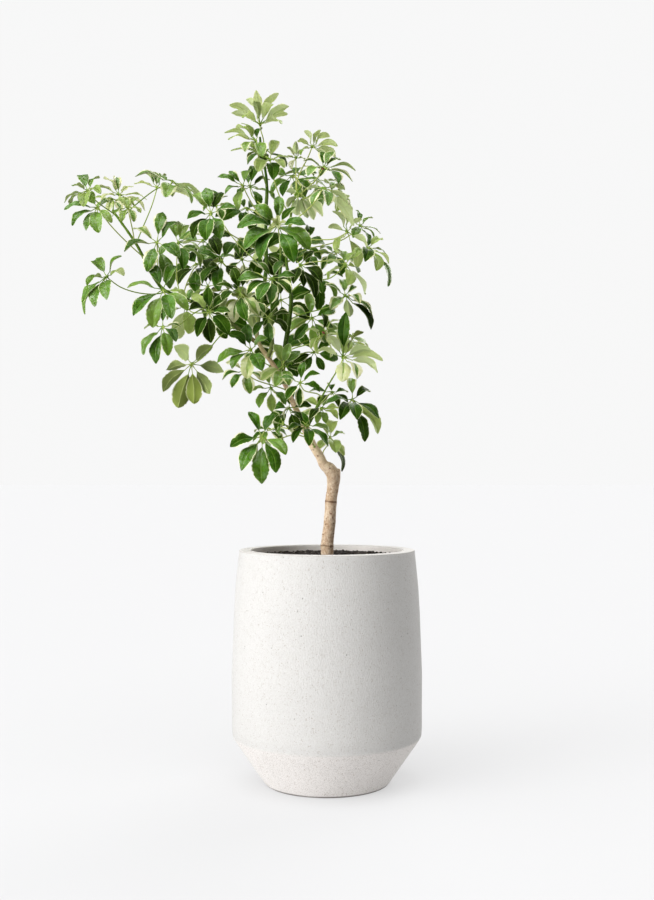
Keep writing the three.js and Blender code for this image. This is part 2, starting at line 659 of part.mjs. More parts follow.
  ["leaf_far_left_1", [88, 191, -64], [-0.3, 0.3, 0.9], 50, "stem_left", 215, [
    [72, 186, 0.7], [64, 203, 0.3], [70, 206, -0.6], [84, 207, 0.9], [100, 178, -0.8], [80, 176, -0.8],
    [101, 194, 0.7],
  ]],
  ["leaf_far_left_2", [98, 208, -92], [-0.2, 0.7, 0.7], 58, "stem_left", 256, [
    [64, 210, 0.2], [72, 226, 0.6], [99, 233, 0.7], [86, 231, 0.8], [112, 223, 0.4], [112, 202, -0.5],
    [86, 196, -0.6],
  ]],
  ["leaf_far_left_3", [119, 195, 44], [0, -0.1, 1], 50, "stem_left", 219, [
    [95, 188, 0.3], [116, 177, -0.5], [133, 187, -0.7], [147, 200, 0.2], [145, 211, 0.4], [101, 201, 0.8],
    [128, 211, 0.9], [104, 179, -0.8],
  ]],
  ["leaf_far_left_4", [128, 207, -50], [0, 0.5, 0.85], 40, "stem_left", 240, [
    [122, 222, 0.8], [134, 222, 0.7], [141, 213, 0.3], [112, 217, 0.4], [139, 198, -0.5], [117, 200, -0.5],
  ]],
  ["leaf_back_1", [262, 240, 150], [0, -0.4, 0.9], 64, "trunk", 262, [
    [240, 222, 0.3], [262, 212, -0.3], [286, 222, 0.2], [296, 246, -0.2], [282, 268, 0.4], [256, 274, -0.3],
    [234, 258, -0.6],
  ]],
];

// A leaf's stalk: from its stem to just under its hub, which points the way the whorl opens.
const STALK_STEPS = 4;
const HUB_DROP = 2.4;
const STALK_RISE = 0.7;
const STALK_PULL = 0.32;
const STALK_SHARE_OF_OPENING = 0.8;
const STALK_SWINGS = [0, 12, -12, 24, -24, 38, -38];
const NEVER_ZERO = 0.01;

// The stalk leaves between its stem's own direction and straight out, and may swing to one side.
function stalkFrames(hub, facing, parent, row, swing) {
  const seat = seatOn(parent, row, hub);
  const reach = hub.clone().sub(seat.start).normalize();
  const opening = facing.clone().addScaledVector(reach, STALK_SHARE_OF_OPENING).normalize();
  const end = hub.clone().addScaledVector(opening, -HUB_DROP);
  const span = seat.start.distanceTo(end) * STALK_PULL;
  const leaving = seat.out.clone().addScaledVector(seat.along, STALK_RISE).normalize();
  const sideways = squareTo(opening.clone().cross(reach).addScaledVector(seat.out, NEVER_ZERO), reach);
  const curve = new THREE.CubicBezierCurve3(
    seat.start,
    seat.start.clone().addScaledVector(leaving, span).addScaledVector(sideways, swing),
    end.clone().addScaledVector(opening, -span).addScaledVector(sideways, swing / 2),
    end,
  );
  const frames = framesAlong(curve.getPoints(STALK_STEPS), seat.along);
  const tip = frames.at(-1);
  tip.along = opening;
  tip.side = squareTo(tip.side, opening);
  tip.across = opening.clone().cross(tip.side);
  const foot = { side: seat.along, across: seat.out.clone().cross(seat.along) };
  return { frames, foot, opening };
}

// Balls along a stalk, past its first few millimetres.
const STALK_SPREAD = 2;
const STALK_BALLS_LEFT_OUT = 4;
const STALK_BALL_RADIUS = 1.4;

function ballsOfStalk(frames) {
  const balls = [];
  const curve = new THREE.CatmullRomCurve3(frames.map(({ point }) => point));
  const steps = Math.ceil(curve.getLength() / STALK_SPREAD);
  for (let i = STALK_BALLS_LEFT_OUT; i < steps; i += 1) balls.push(curve.getPoint(i / steps));
  return balls;
}

// A leaflet: a thin stalk from the hub, then a blade that arches down to its tip and is folded at
// its midrib.
function leafletShape(hub, facing, tip, roll, breadth) {
  const reach = tip.clone().sub(hub);
  const length = reach.length();
  const lifted = reach.normalize().addScaledVector(facing, LEAFLET_LIFT).normalize();
  const base = hub.clone().addScaledVector(lifted, length * LEAFLET_STALK_SHARE);
  const bladeLength = tip.distanceTo(base);
  const along = tip.clone().sub(base).normalize();
  const upper = squareTo(facing, along).applyAxisAngle(along, roll);
  const side = upper.clone().cross(along);
  const sections = BLADE_SECTIONS.map(({ at, wide }) => ({
    half: (bladeLength * BLADE_WIDTH_SHARE * breadth * wide) / 2,
    middle: base
      .clone()
      .addScaledVector(along, bladeLength * at)
      .addScaledVector(upper, bladeLength * BLADE_ARCH_SHARE * Math.sin(Math.PI * at)),
  }));
  return { hub, base, tip, upper, side, sections, length };
}

// Balls along a leaflet's stalk, past its first few millimetres, and all over its blade.
const LEAFLET_BALLS_LEFT_OUT = 2;

function ballsOfLeaflet({ hub, base, tip, side, sections }) {
  const balls = [tip];
  const stalkSteps = Math.ceil(base.distanceTo(hub) / SPREAD);
  for (let i = LEAFLET_BALLS_LEFT_OUT; i < stalkSteps; i += 1) {
    balls.push(hub.clone().lerp(base, i / stalkSteps));
  }
  const stations = [{ middle: base, half: 0 }, ...sections, { middle: tip, half: 0 }];
  for (let k = 0; k + 1 < stations.length; k += 1) {
    const [from, to] = [stations[k], stations[k + 1]];
    const steps = Math.ceil(from.middle.distanceTo(to.middle) / SPREAD);
    for (let i = 0; i < steps; i += 1) {
      const half = THREE.MathUtils.lerp(from.half, to.half, i / steps);
      const across = Math.ceil((2 * half) / SPREAD) + 1;
      for (let j = 0; j < across; j += 1) {
        const offset = across === 1 ? 0 : (2 * j) / (across - 1) - 1;
        const onRib = from.middle.clone().lerp(to.middle, i / steps);
        balls.push(onRib.addScaledVector(side, half * offset));
      }
    }
  }
  return balls;
}

// The bends that a leaflet tries until it is clear of what already grows there: how far its tip
// moves in depth, how far it rolls about its midrib, and the share of its length that it keeps.
const SHARES_KEPT = [1, 0.88, 0.76];
const ROLLS = [0, 18, -18, 36, -36];
const DEPTH_SHIFTS = [0, 7, -7, 14, -14, 22, -22, 30, -30];

function* bends() {
  for (const share of SHARES_KEPT) {
    for (const roll of ROLLS) {
      for (const shift of DEPTH_SHIFTS) yield { share, roll: THREE.MathUtils.degToRad(roll), shift };
    }
  }
}

// How much longer than its leaf's size a leaflet may be, and than its length in the elevation.
const LONGEST_OF_SIZE = 1.2;
const LONGEST_OF_FLAT = 1.05;
const WIDTH_VARIATION = 0.08;
const ROLL_VARIATION = 0.15;
const OUTER_PART = 0.45;
const OUTER_CLEARANCE = 2.4;

// A number from -1 to 1 that differs from leaflet to leaflet.
const variation = (index, seed) => Math.sin(11 * index + seed);

function growLeaflet(leaf, [column, row, lean], index) {
  const { hub, facing, size, name } = leaf;
  const flat = place(column, row, hub.y);
  const flatLength = flat.distanceTo(hub);
  const hidden = Math.sqrt(Math.max(size ** 2 - flatLength ** 2, 0));
  const breadth = 1 + WIDTH_VARIATION * variation(index, hub.x);
  const rolled = ROLL_VARIATION * variation(index, hub.z);
  for (const { share, roll, shift } of bends()) {
    const tip = place(column, row, hub.y - lean * hidden + shift);
    tip.sub(hub).multiplyScalar(share).add(hub);
    const shape = leafletShape(hub, facing, tip, roll + rolled, breadth);
    if (shape.length > Math.max(LONGEST_OF_SIZE * size, LONGEST_OF_FLAT * flatLength)) continue;
    const balls = ballsOfLeaflet(shape);
    const own = leaf.leaflets.flatMap(({ outer }) => outer);
    const outer = balls.filter((ball) => ball.distanceTo(hub) > OUTER_PART * shape.length);
    const crowded = outer.some((ball) => own.some((other) => other.distanceTo(ball) < OUTER_CLEARANCE));
    if (crowded || room.hits(balls, name) > 0) continue;
    room.fill(balls, name);
    leaf.leaflets.push({ ...shape, outer });
    return;
  }
}

function bladeRing(shell, { middle, half }, side, upper) {
  const fold = 2 * half * BLADE_FOLD_SHARE;
  return shell.ring([
    middle.clone().addScaledVector(side, half).addScaledVector(upper, fold),
    middle.clone().addScaledVector(upper, BLADE_HALF_THICKNESS),
    middle.clone().addScaledVector(side, -half).addScaledVector(upper, fold),
    middle.clone().addScaledVector(upper, -BLADE_HALF_THICKNESS),
  ]);
}

function leafletRings(shell, { base, tip, upper, side, sections }, root) {
  const stalkUpper = squareTo(upper, base.clone().sub(root.centre).normalize());
  let last = shell.ring(circle(base, side, stalkUpper, LEAFLET_STALK_RADIUS, 4));
  shell.bridge(root.ring, last);
  for (const section of sections) {
    const ring = bladeRing(shell, section, side, upper);
    shell.bridge(last, ring);
    last = ring;
  }
  shell.close(last, shell.add(tip));
}

function buildLeaf({ name, hub, opening, frames, foot, leaflets }) {
  const shell = new Shell();
  const rings = frames.map(({ point, side, across }, i) => {
    const section = i === 0 ? foot : { side, across };
    const radius = i === 0 ? STALK_BASE_RADIUS : STALK_RADIUS;
    return shell.ring(circle(point, section.side, section.across, radius, 4));
  });
  for (let i = 0; i + 1 < rings.length; i += 1) shell.bridge(rings[i], rings[i + 1]);
  shell.open(rings[0], shell.add(frames[0].point));

  // The leaflets sit round the hub in the order of their directions, at even steps.
  const { side, across } = frames.at(-1);
  const turn = ({ tip }) => {
    const reach = tip.clone().sub(hub);
    return Math.atan2(reach.dot(across), reach.dot(side));
  };
  const sorted = [...leaflets].sort((a, b) => turn(a) - turn(b));
  const count = sorted.length;
  const step = (2 * Math.PI) / count;
  const drift = sorted.map((leaflet, i) => turn(leaflet) - i * step);
  const offset = Math.atan2(
    drift.reduce((sum, angle) => sum + Math.sin(angle), 0),
    drift.reduce((sum, angle) => sum + Math.cos(angle), 0),
  );
  const onHub = (angle, radius, rise) =>
    hub
      .clone()
      .addScaledVector(side, radius * Math.cos(angle))
      .addScaledVector(across, radius * Math.sin(angle))
      .addScaledVector(opening, rise);
  const lower = [];
  const upper = [];
  const between = sorted.map((_, i) => shell.add(onHub(offset + (i - 0.5) * step, HUB_RADIUS, 0)));
  sorted.forEach((_, i) => {
    lower.push(between[i], shell.add(onHub(offset + i * step, HUB_FACE_RADIUS, -HUB_HALF_HEIGHT)));
    upper.push(between[i], shell.add(onHub(offset + i * step, HUB_FACE_RADIUS, HUB_HALF_HEIGHT)));
  });
  shell.knit(rings.at(-1), lower);
  shell.close(upper, shell.add(onHub(0, 0, HUB_APEX_RISE)));
  sorted.forEach((leaflet, i) => {
    const ring = [between[(i + 1) % count], upper[2 * i + 1], between[i], lower[2 * i + 1]];
    leafletRings(shell, leaflet, { ring, centre: onHub(offset + i * step, HUB_RADIUS, 0) });
  });
  addMesh(name, shell.geometry(), LEAF);
}

// Stalks first, so that every leaflet finds its room among them.
const leaves = LEAVES.map(([name, at, facing, size, parent, row, tips]) => {
  const hub = place(...at);
  const [right, front, up] = facing;
  const faces = vector(right, -front, up).normalize();
  const tried = STALK_SWINGS.map((swing) => {
    const stalk = stalkFrames(hub, faces, parent, row, swing);
    const balls = ballsOfStalk(stalk.frames);
    return { ...stalk, balls, hits: room.hits(balls, name, STALK_BALL_RADIUS + BALL_RADIUS) };
  });
  const best = tried.reduce((kept, next) => (next.hits < kept.hits ? next : kept));
  room.fill([...best.balls, hub], name);
  return { ...best, name, hub, facing: faces, size, tips, leaflets: [] };
});

// The first leaflet of every leaf, then the second of every leaf, and so on, so that no leaf is
// left short of room.
const MOST_LEAFLETS = Math.max(...leaves.map(({ tips }) => tips.length));
for (let index = 0; index < MOST_LEAFLETS; index += 1) {
  for (const leaf of leaves) {
    if (index < leaf.tips.length) growLeaflet(leaf, leaf.tips[index], index);
  }
}
leaves.forEach(buildLeaf);

export default plant;
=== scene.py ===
"""A variegated umbrella plant with a bent trunk, in a tall planter of cast stone.

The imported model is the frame. Each leaf node is read back here as a stalk, a hub and its leaflets, and
grown again as fine blades on the same places. The stems, the trunk, the soil and the planter are made
again on their nodes in the same way. Lengths are in metres.
"""

import itertools
import math
import random

import bpy
from mathutils import Matrix, Vector, noise


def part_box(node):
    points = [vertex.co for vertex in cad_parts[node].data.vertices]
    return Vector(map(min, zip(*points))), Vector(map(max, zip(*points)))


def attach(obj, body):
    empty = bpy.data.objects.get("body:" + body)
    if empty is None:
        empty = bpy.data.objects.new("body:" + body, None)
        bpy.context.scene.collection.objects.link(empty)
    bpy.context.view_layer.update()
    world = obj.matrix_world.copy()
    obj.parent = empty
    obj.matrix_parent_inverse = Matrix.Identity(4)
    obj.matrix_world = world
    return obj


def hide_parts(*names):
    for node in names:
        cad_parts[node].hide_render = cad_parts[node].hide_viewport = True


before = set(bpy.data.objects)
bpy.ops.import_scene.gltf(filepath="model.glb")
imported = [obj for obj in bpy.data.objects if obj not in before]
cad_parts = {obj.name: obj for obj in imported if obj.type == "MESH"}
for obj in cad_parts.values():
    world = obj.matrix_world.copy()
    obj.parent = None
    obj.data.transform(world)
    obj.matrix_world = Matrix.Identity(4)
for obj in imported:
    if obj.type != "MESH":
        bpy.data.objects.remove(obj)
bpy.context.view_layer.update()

MM = 0.001
UP = Vector((0.0, 0.0, 1.0))
WHITE = (1.0, 1.0, 1.0, 1.0)

# The photograph's frame and the place it was taken from

PICTURE_HIGH = 900
EYE_DISTANCE = 1.8
EYE_HEIGHT = 0.4875
FOCAL_PIXELS = 1125
AXIS_COLUMN = 327
EYE_ROW = 476
SENSOR_MM = 36.0
NEAREST_SHOWN, FARTHEST_SHOWN = 0.05, 200.0


def add_camera():
    """The camera looks level along +Y, moved up in its frame by the few rows that the photograph needs."""
    eye = bpy.data.cameras.new("eye")
    eye.sensor_width = SENSOR_MM
    eye.lens = SENSOR_MM * FOCAL_PIXELS / PICTURE_HIGH
    eye.shift_y = (EYE_ROW - PICTURE_HIGH / 2) / PICTURE_HIGH
    eye.clip_start, eye.clip_end = NEAREST_SHOWN, FARTHEST_SHOWN
    holder = bpy.data.objects.new("eye", eye)
    holder.location = (0.0, -EYE_DISTANCE, EYE_HEIGHT)
    holder.rotation_euler = (math.radians(90), 0.0, 0.0)
    bpy.context.scene.collection.objects.link(holder)
    bpy.context.scene.camera = holder


def seen_at(point):
    """The column and row of the photograph at which a point is seen."""
    away = (point.y + EYE_DISTANCE) / FOCAL_PIXELS
    return AXIS_COLUMN + point.x / away, EYE_ROW - (point.z - EYE_HEIGHT) / away


def place(column, row, depth=0.0):
    """The point at this depth (metres behind the pot's axis) that the photograph shows at a pixel."""
    away = (depth + EYE_DISTANCE) / FOCAL_PIXELS
    return Vector(((column - AXIS_COLUMN) * away, depth, EYE_HEIGHT + (EYE_ROW - row) * away))


NEAR_IN_PIXELS = 9.0


def near_pixel(point, pixels):
    """The one of these pixels that a point is seen nearest to, or None where even that one isn't near."""
    column, row = seen_at(point)
    gaps = {pixel: math.hypot(pixel[0] - column, pixel[1] - row) for pixel in pixels}
    nearest = min(gaps, key=gaps.get)
    return nearest if gaps[nearest] < NEAR_IN_PIXELS else None


add_camera()

# Finishes


def ink(red, green, blue):
    """A colour given as it shows on a screen, 0 to 255, turned into the linear colour that shaders take."""
    shares = [channel / 255 for channel in (red, green, blue)]
    linear = [s / 12.92 if s <= 0.04045 else ((s + 0.055) / 1.055) ** 2.4 for s in shares]
    return (*linear, 1.0)


class Amount:
    """A number that varies over a surface. Sums on it add Math nodes to its finish."""

    def __init__(self, finish, socket):
        self.finish, self.socket = finish, socket

    def sum(self, operation, first, second=0.0):
        """The amount that one Math node makes of two others."""
        node = self.finish.add("ShaderNodeMath", {"operation": operation}, {0: first, 1: second})
        return Amount(self.finish, node.outputs[0])

    def __add__(self, other):
        return self.sum("ADD", self, other)

    __radd__ = __add__

    def __sub__(self, other):
        return self.sum("SUBTRACT", self, other)

    def __rsub__(self, other):
        return self.sum("SUBTRACT", other, self)

    def __mul__(self, other):
        return self.sum("MULTIPLY", self, other)

    __rmul__ = __mul__

    def __pow__(self, other):
        return self.sum("POWER", self, other)

    def __abs__(self):
        return self.sum("ABSOLUTE", self)

    def wave(self):
        return self.sum("SINE", self)

    def most(self, other):
        return self.sum("MAXIMUM", self, other)

    def rise(self, low, high):
        """0 below low and 1 above high, with a soft step between; low may be the higher one."""
        node = self.finish.add(
            "ShaderNodeMapRange",
            {"interpolation_type": "SMOOTHSTEP", "clamp": True},
            {"Value": self, "From Min": low, "From Max": high},
        )
        return Amount(self.finish, node.outputs["Result"])


class ShaderNodes:
    """The nodes of a material or of the world, with one way to add each of them."""

    def __init__(self, owner):
        owner.use_nodes = True
        self.tree = owner.node_tree
        self.tree.nodes.clear()

    def add(self, kind, settings=None, inputs=None):
        """A new node: its settings are made first, and then its sockets are fed."""
        node = self.tree.nodes.new(kind)
        for name, value in (settings or {}).items():
            setattr(node, name, value)
        for name, value in (inputs or {}).items():
            self.feed(node.inputs[name], value)
        return node

    def feed(self, socket, value):
        """Links the socket to an amount or to another node's socket, or sets it to a plain value."""
        if isinstance(value, Amount):
            value = value.socket
        if isinstance(value, bpy.types.NodeSocket):
            self.tree.links.new(value, socket)
        else:
            socket.default_value = value


# The sockets of a Mix node that belong to colours
MIX_SHARE, MIX_FIRST, MIX_SECOND, MIXED = 0, 6, 7, 2


class Finish(ShaderNodes):
    """A material in the making: one main shader, and the patterns that feed it."""

    def __init__(self, name, **constants):
        self.material = bpy.data.materials.new(name)
        super().__init__(self.material)
        self.out = self.add("ShaderNodeOutputMaterial")
        self.skin = self.add("ShaderNodeBsdfPrincipled")
        self.feed(self.out.inputs["Surface"], self.skin.outputs[0])
        self.give(**constants)

    def give(self, **inputs):
        """Feeds sockets of the main shader; an underscore in a name stands for a space."""
        for name, value in inputs.items():
            self.feed(self.skin.inputs[name.replace("_", " ")], value)

    def mark(self, name):
        """One of the marks that a form gives its faces."""
        node = self.add("ShaderNodeAttribute", {"attribute_name": name})
        return Amount(self, node.outputs["Fac"])

    def across_and_along(self):
        """The place on a blade: 0 to 1 across it, and 0 to 1 along it from its base."""
        node = self.add("ShaderNodeUVMap", {"uv_map": "blade"})
        parts = self.add("ShaderNodeSeparateXYZ", inputs={0: node.outputs[0]})
        return Amount(self, parts.outputs["X"]), Amount(self, parts.outputs["Y"])

    def spot(self, stretch=(1.0, 1.0, 1.0), shift=None):
        """The point on the piece, with its axes stretched and shifted, as the patterns take it."""
        coordinates = self.add("ShaderNodeTexCoord").outputs["Object"]
        stretched = self.add("ShaderNodeVectorMath", {"operation": "MULTIPLY"}, {0: coordinates, 1: stretch})
        if shift is None:
            return stretched.outputs[0]
        spread = self.add("ShaderNodeCombineXYZ", inputs={"X": shift, "Y": shift, "Z": shift})
        sockets = {0: stretched.outputs[0], 1: spread.outputs[0]}
        return self.add("ShaderNodeVectorMath", {"operation": "ADD"}, sockets).outputs[0]

    def height(self):
        """The height above the ground, in metres."""
        coordinates = self.add("ShaderNodeTexCoord").outputs["Object"]
        return Amount(self, self.add("ShaderNodeSeparateXYZ", inputs={0: coordinates}).outputs["Z"])

    def cloud(self, scale, at=None, detail=3.0, roughness=0.55):
        """Soft noise with this many waves in a metre, or in one unit of the stretched point at."""
        inputs = {"Scale": scale, "Detail": detail, "Roughness": roughness, "Vector": at or self.spot()}
        return Amount(self, self.add("ShaderNodeTexNoise", inputs=inputs).outputs["Fac"])

    def cells(self, scale, at=None):
        """The distance to the nearest of many scattered points, as the cloud is scaled."""
        inputs = {"Scale": scale, "Vector": at or self.spot()}
        return Amount(self, self.add("ShaderNodeTexVoronoi", inputs=inputs).outputs["Distance"])

    def mix(self, share, first, second):
        """The first colour where share is 0 and the second where it is 1."""
        inputs = {MIX_SHARE: share, MIX_FIRST: first, MIX_SECOND: second}
        return self.add("ShaderNodeMix", {"data_type": "RGBA"}, inputs).outputs[MIXED]

    def relief(self, height, depth, strength, under=None):
        """Bump of this depth in metres, on top of another bump if one is given."""
        inputs = {"Height": height, "Distance": depth, "Strength": strength}
        if under is not None:
            inputs["Normal"] = under
        return self.add("ShaderNodeBump", inputs=inputs).outputs[0]

    def let_light_through(self, colour, share):
        """Lets a share of the light through the sheet, in one colour."""
        glow = self.add("ShaderNodeBsdfTranslucent", inputs={"Color": colour})
        sockets = {0: share, 1: self.skin.outputs[0], 2: glow.outputs[0]}
        both = self.add("ShaderNodeMixShader", inputs=sockets)
        self.feed(self.out.inputs["Surface"], both.outputs[0])


STONE_SIDE = ink(208, 207, 205)
# The foot's lighter ink is painted light on the downward-facing foot, which gets less light than the side
STONE_FOOT_PAINTED_LIGHT = ink(236, 232, 229)
STONE_SHADE = ink(196, 194, 191)
STONE_SPECK = ink(160, 154, 146)
STONE_DOT = ink(140, 118, 98)
STONE_PIT = ink(84, 78, 72)
# Painted light on the inside wall and the rim's flat top
STONE_PAINTED_LIGHT_INSIDE = ink(243, 238, 234)
# Painted shade along the rim's rounded outer edge
STONE_PAINTED_EDGE_SHADE = ink(158, 147, 138)
STONE_CRINKLES = (780.0, 780.0, 200.0)
CREASE_HEIGHT = 76 * MM
CREASE_BLUR = 3 * MM
# Heights below which the foot darkens: painted contact shade, with some dirt
FOOT_DIRT_AND_SHADE = (4.0 * MM, 1.5 * MM)


def cast_stone():
    """Off-white cast stone: sandy, crinkled a little upright on the side, smoother below the crease."""
    f = Finish("cast_stone", Specular_IOR_Level=0.25)
    height = f.height()
    above = height.rise(CREASE_HEIGHT - CREASE_BLUR, CREASE_HEIGHT + CREASE_BLUR)
    crinkles = f.cloud(1.0, f.spot(STONE_CRINKLES), roughness=0.6)
    sand = f.cloud(900.0, roughness=0.7)
    pits = (1 - f.cells(120.0).rise(0.05, 0.13)) * f.cloud(38.0, detail=1.0).rise(0.60, 0.66)
    broad = f.cloud(9.0, detail=2.0)
    dots = (1 - f.cells(330.0).rise(0.12, 0.24)) * f.cloud(130.0, detail=1.0).rise(0.46, 0.56)
    # Painted light: below the crease the stone takes the lighter foot ink
    colour = f.mix(above, STONE_FOOT_PAINTED_LIGHT, STONE_SIDE)
    colour = f.mix((broad - 0.35) * 0.4, colour, STONE_SHADE)
    colour = f.mix((1 - crinkles.rise(0.34, 0.54)) * (0.15 + above * 0.30), colour, STONE_SHADE)
    colour = f.mix((1 - sand.rise(0.36, 0.52)) * (0.6 - above * 0.25), colour, STONE_SPECK)
    colour = f.mix(dots * (0.85 - above * 0.25), colour, STONE_DOT)
    colour = f.mix(pits * 0.8, colour, STONE_PIT)
    # Painted light: the inside wall and the rim's flat top are lightened
    colour = f.mix(f.mark("inside") * (sand.rise(0.2, 0.5) * 0.5 + 0.5), colour, STONE_PAINTED_LIGHT_INSIDE)
    # Painted shade: a thin darker line where the rim's top rounds over to the side
    colour = f.mix(f.mark("stain_and_painted_shade") * (sand.rise(0.3, 0.6) * 0.3 + 0.6), colour, STONE_PAINTED_EDGE_SHADE)
    # Darker towards the bottom few mm: painted contact shade and dirt at the foot
    colour = f.mix(height.rise(*FOOT_DIRT_AND_SHADE) * broad.rise(0.3, 0.5) * 0.8, colour, STONE_PIT)
    bump = f.relief(crinkles, 0.9 * MM, 0.25 + above * 0.75)
    bump = f.relief(sand * 0.8 - pits * 1.6 - dots * 0.6, 0.6 * MM, 0.8, under=bump)
    f.give(Base_Color=colour, Roughness=0.70 + sand * 0.2 + pits * 0.1, Normal=bump)
    return f.material


SOIL_DARK = ink(38, 33, 30)
SOIL_BROWN = ink(62, 54, 48)
SOIL_CRUMB = ink(70, 60, 51)
SOIL_GRIT = ink(140, 132, 120)
SOIL_HOLLOW = ink(22, 18, 15)


def potting_mix():
    """Dark crumbly soil, in which a few clods by chance are pale grit."""
    f = Finish("potting_mix", Specular_IOR_Level=0.25)
    crumbs = f.cells(190.0)
    grain = f.cloud(420.0, detail=4.0)
    colour = f.mix(f.cloud(45.0).rise(0.35, 0.7), SOIL_DARK, SOIL_BROWN)
    colour = f.mix((1 - crumbs.rise(0.1, 0.45)) * 0.5, colour, SOIL_CRUMB)
    colour = f.mix(f.mark("chance").rise(0.93, 0.95), colour, SOIL_GRIT)
    colour = f.mix(grain.rise(0.6, 0.75) * 0.5, colour, SOIL_HOLLOW)
    bump = f.relief(grain * 0.6 + crumbs * 0.4, 2 * MM, 0.9)
    f.give(Base_Color=colour, Roughness=0.82 + grain * 0.15, Normal=bump)
    return f.material


BARK_TAN = ink(206, 180, 152)
BARK_PALE = ink(224, 204, 180)
BARK_CRACK = ink(152, 118, 90)
BARK_SPECKLE = ink(160, 120, 90)
BARK_FLAKE = ink(238, 224, 204)
BARK_BAND = ink(152, 116, 88)
# Painted light on the trunk's slant below the crown
BARK_PAINTED_LIGHT = ink(244, 222, 190)
# Painted shade, with browner bark, on the trunk inside the crown
BARK_PAINTED_SHADE = ink(160, 118, 90)
BARK_DOT = ink(110, 70, 50)
BARK_SCAR = ink(108, 80, 58)
BARK_GREEN = ink(62, 104, 26)
BARK_LIME = ink(98, 128, 50)

# Between which heights the bark gets painted light, loses it again, and gets painted shade under the crown
BARK_LIGHT_BAND_FROM = (0.47, 0.54)
BARK_LIGHT_BAND_TO = (0.62, 0.57)
BARK_SHADE_FROM = (0.58, 0.64)


def bark():
    """Tan bark with raised dots, fine cracks along it and darker bands round it; green as tone rises."""
    f = Finish("bark", Specular_IOR_Level=0.3)
    height = f.height()
    grain = f.cloud(1.0, f.spot((900.0, 900.0, 190.0)), detail=5.0, roughness=0.62)
    patch = f.cloud(75.0)
    speckle = f.cloud(1.0, f.spot((300.0, 300.0, 240.0)), roughness=0.7)
    dots = 1 - f.cells(1.0, f.spot((150.0, 150.0, 190.0))).rise(0.15, 0.28)
    dots = dots * f.cloud(60.0, detail=1.0).rise(0.44, 0.52)
    bands = (1 - f.cloud(1.0, f.spot((9.0, 9.0, 330.0)), detail=2.0).rise(0.30, 0.40)) * 0.8
    wobble = f.cloud(70.0, detail=2.0)
    scar = (f.mark("stain_and_painted_shade") + (wobble - 0.5) * 0.9).rise(0.66, 0.78)
    painted_light_band = height.rise(*BARK_LIGHT_BAND_FROM) * height.rise(*BARK_LIGHT_BAND_TO)
    colour = f.mix(patch.rise(0.3, 0.7), BARK_TAN, BARK_PALE)
    colour = f.mix((1 - grain.rise(0.32, 0.56)) * 0.45, colour, BARK_CRACK)
    colour = f.mix((1 - speckle.rise(0.36, 0.5)) * 0.5, colour, BARK_SPECKLE)
    colour = f.mix(speckle.rise(0.52, 0.66) * 0.6, colour, BARK_FLAKE)
    colour = f.mix(bands * patch.rise(0.4, 0.7) * 0.5, colour, BARK_BAND)
    # Painted light: a lighter band on the trunk where the crown shades it
    colour = f.mix(painted_light_band * 0.5, colour, BARK_PAINTED_LIGHT)
    # Painted shade higher up, inside the crown, with browner bark there
    colour = f.mix(height.rise(*BARK_SHADE_FROM) * 0.4, colour, BARK_PAINTED_SHADE)
    colour = f.mix(dots * 0.85, colour, BARK_DOT)
    colour = f.mix(scar * 0.75, colour, BARK_SCAR)
    colour = f.mix(f.mark("tone"), colour, f.mix(patch.rise(0.35, 0.65), BARK_GREEN, BARK_LIME))
    ridges = grain * 0.5 + speckle * 0.5 - bands * 0.4 + dots * 0.3 - scar * 0.8
    bump = f.relief(ridges, 1.1 * MM, 0.9)
    f.give(Base_Color=colour, Roughness=0.66 + grain * 0.2, Normal=bump)
    return f.material


STEM_BROWN = ink(112, 94, 60)
STEM_DARK = ink(60, 84, 22)
STEM_GREEN = ink(118, 150, 54)
STEM_LIME = ink(190, 200, 120)
STEM_STREAK = ink(62, 80, 26)
STEM_FLECK = ink(176, 160, 124)
STEM_RED = ink(158, 84, 88)


def green_stem():
    """Young stems: brown at the foot, then dark and lime green as tone rises to 1, and red where stained."""
    f = Finish("green_stem", Specular_IOR_Level=0.20)
    tone = f.mark("tone")
    chance = f.mark("chance")
    streak = f.cloud(1.0, f.spot((700.0, 700.0, 170.0), chance))
    flecks = 1 - f.cells(1.0, f.spot((620.0, 620.0, 420.0), chance)).rise(0.12, 0.26)
    colour = f.mix(tone.rise(0.0, 0.3), STEM_BROWN, STEM_DARK)
    colour = f.mix(tone.rise(0.3, 0.75), colour, STEM_GREEN)
    colour = f.mix(tone.rise(0.7, 1.0), colour, STEM_LIME)
    colour = f.mix((1 - streak.rise(0.3, 0.6)) * 0.3, colour, STEM_STREAK)
    colour = f.mix(flecks * (1 - tone.rise(0.3, 0.8)) * 0.6, colour, STEM_FLECK)
    colour = f.mix(f.mark("stain_and_painted_shade"), colour, STEM_RED)
    bump = f.relief(streak * 0.7 + flecks * 0.3, 0.4 * MM, 0.5)
    f.give(Base_Color=colour, Roughness=0.42 + streak * 0.2, Normal=bump)
    return f.material


LEAF_SHEEN = (0.86, 1.0, 0.20, 1.0)
CREAM = ink(236, 236, 206)
CREAM_WARM = ink(226, 226, 176)
VEIN_PAIRS = 8.5
VEIN_SLANT = 1.7
SIDES_APART = 0.45


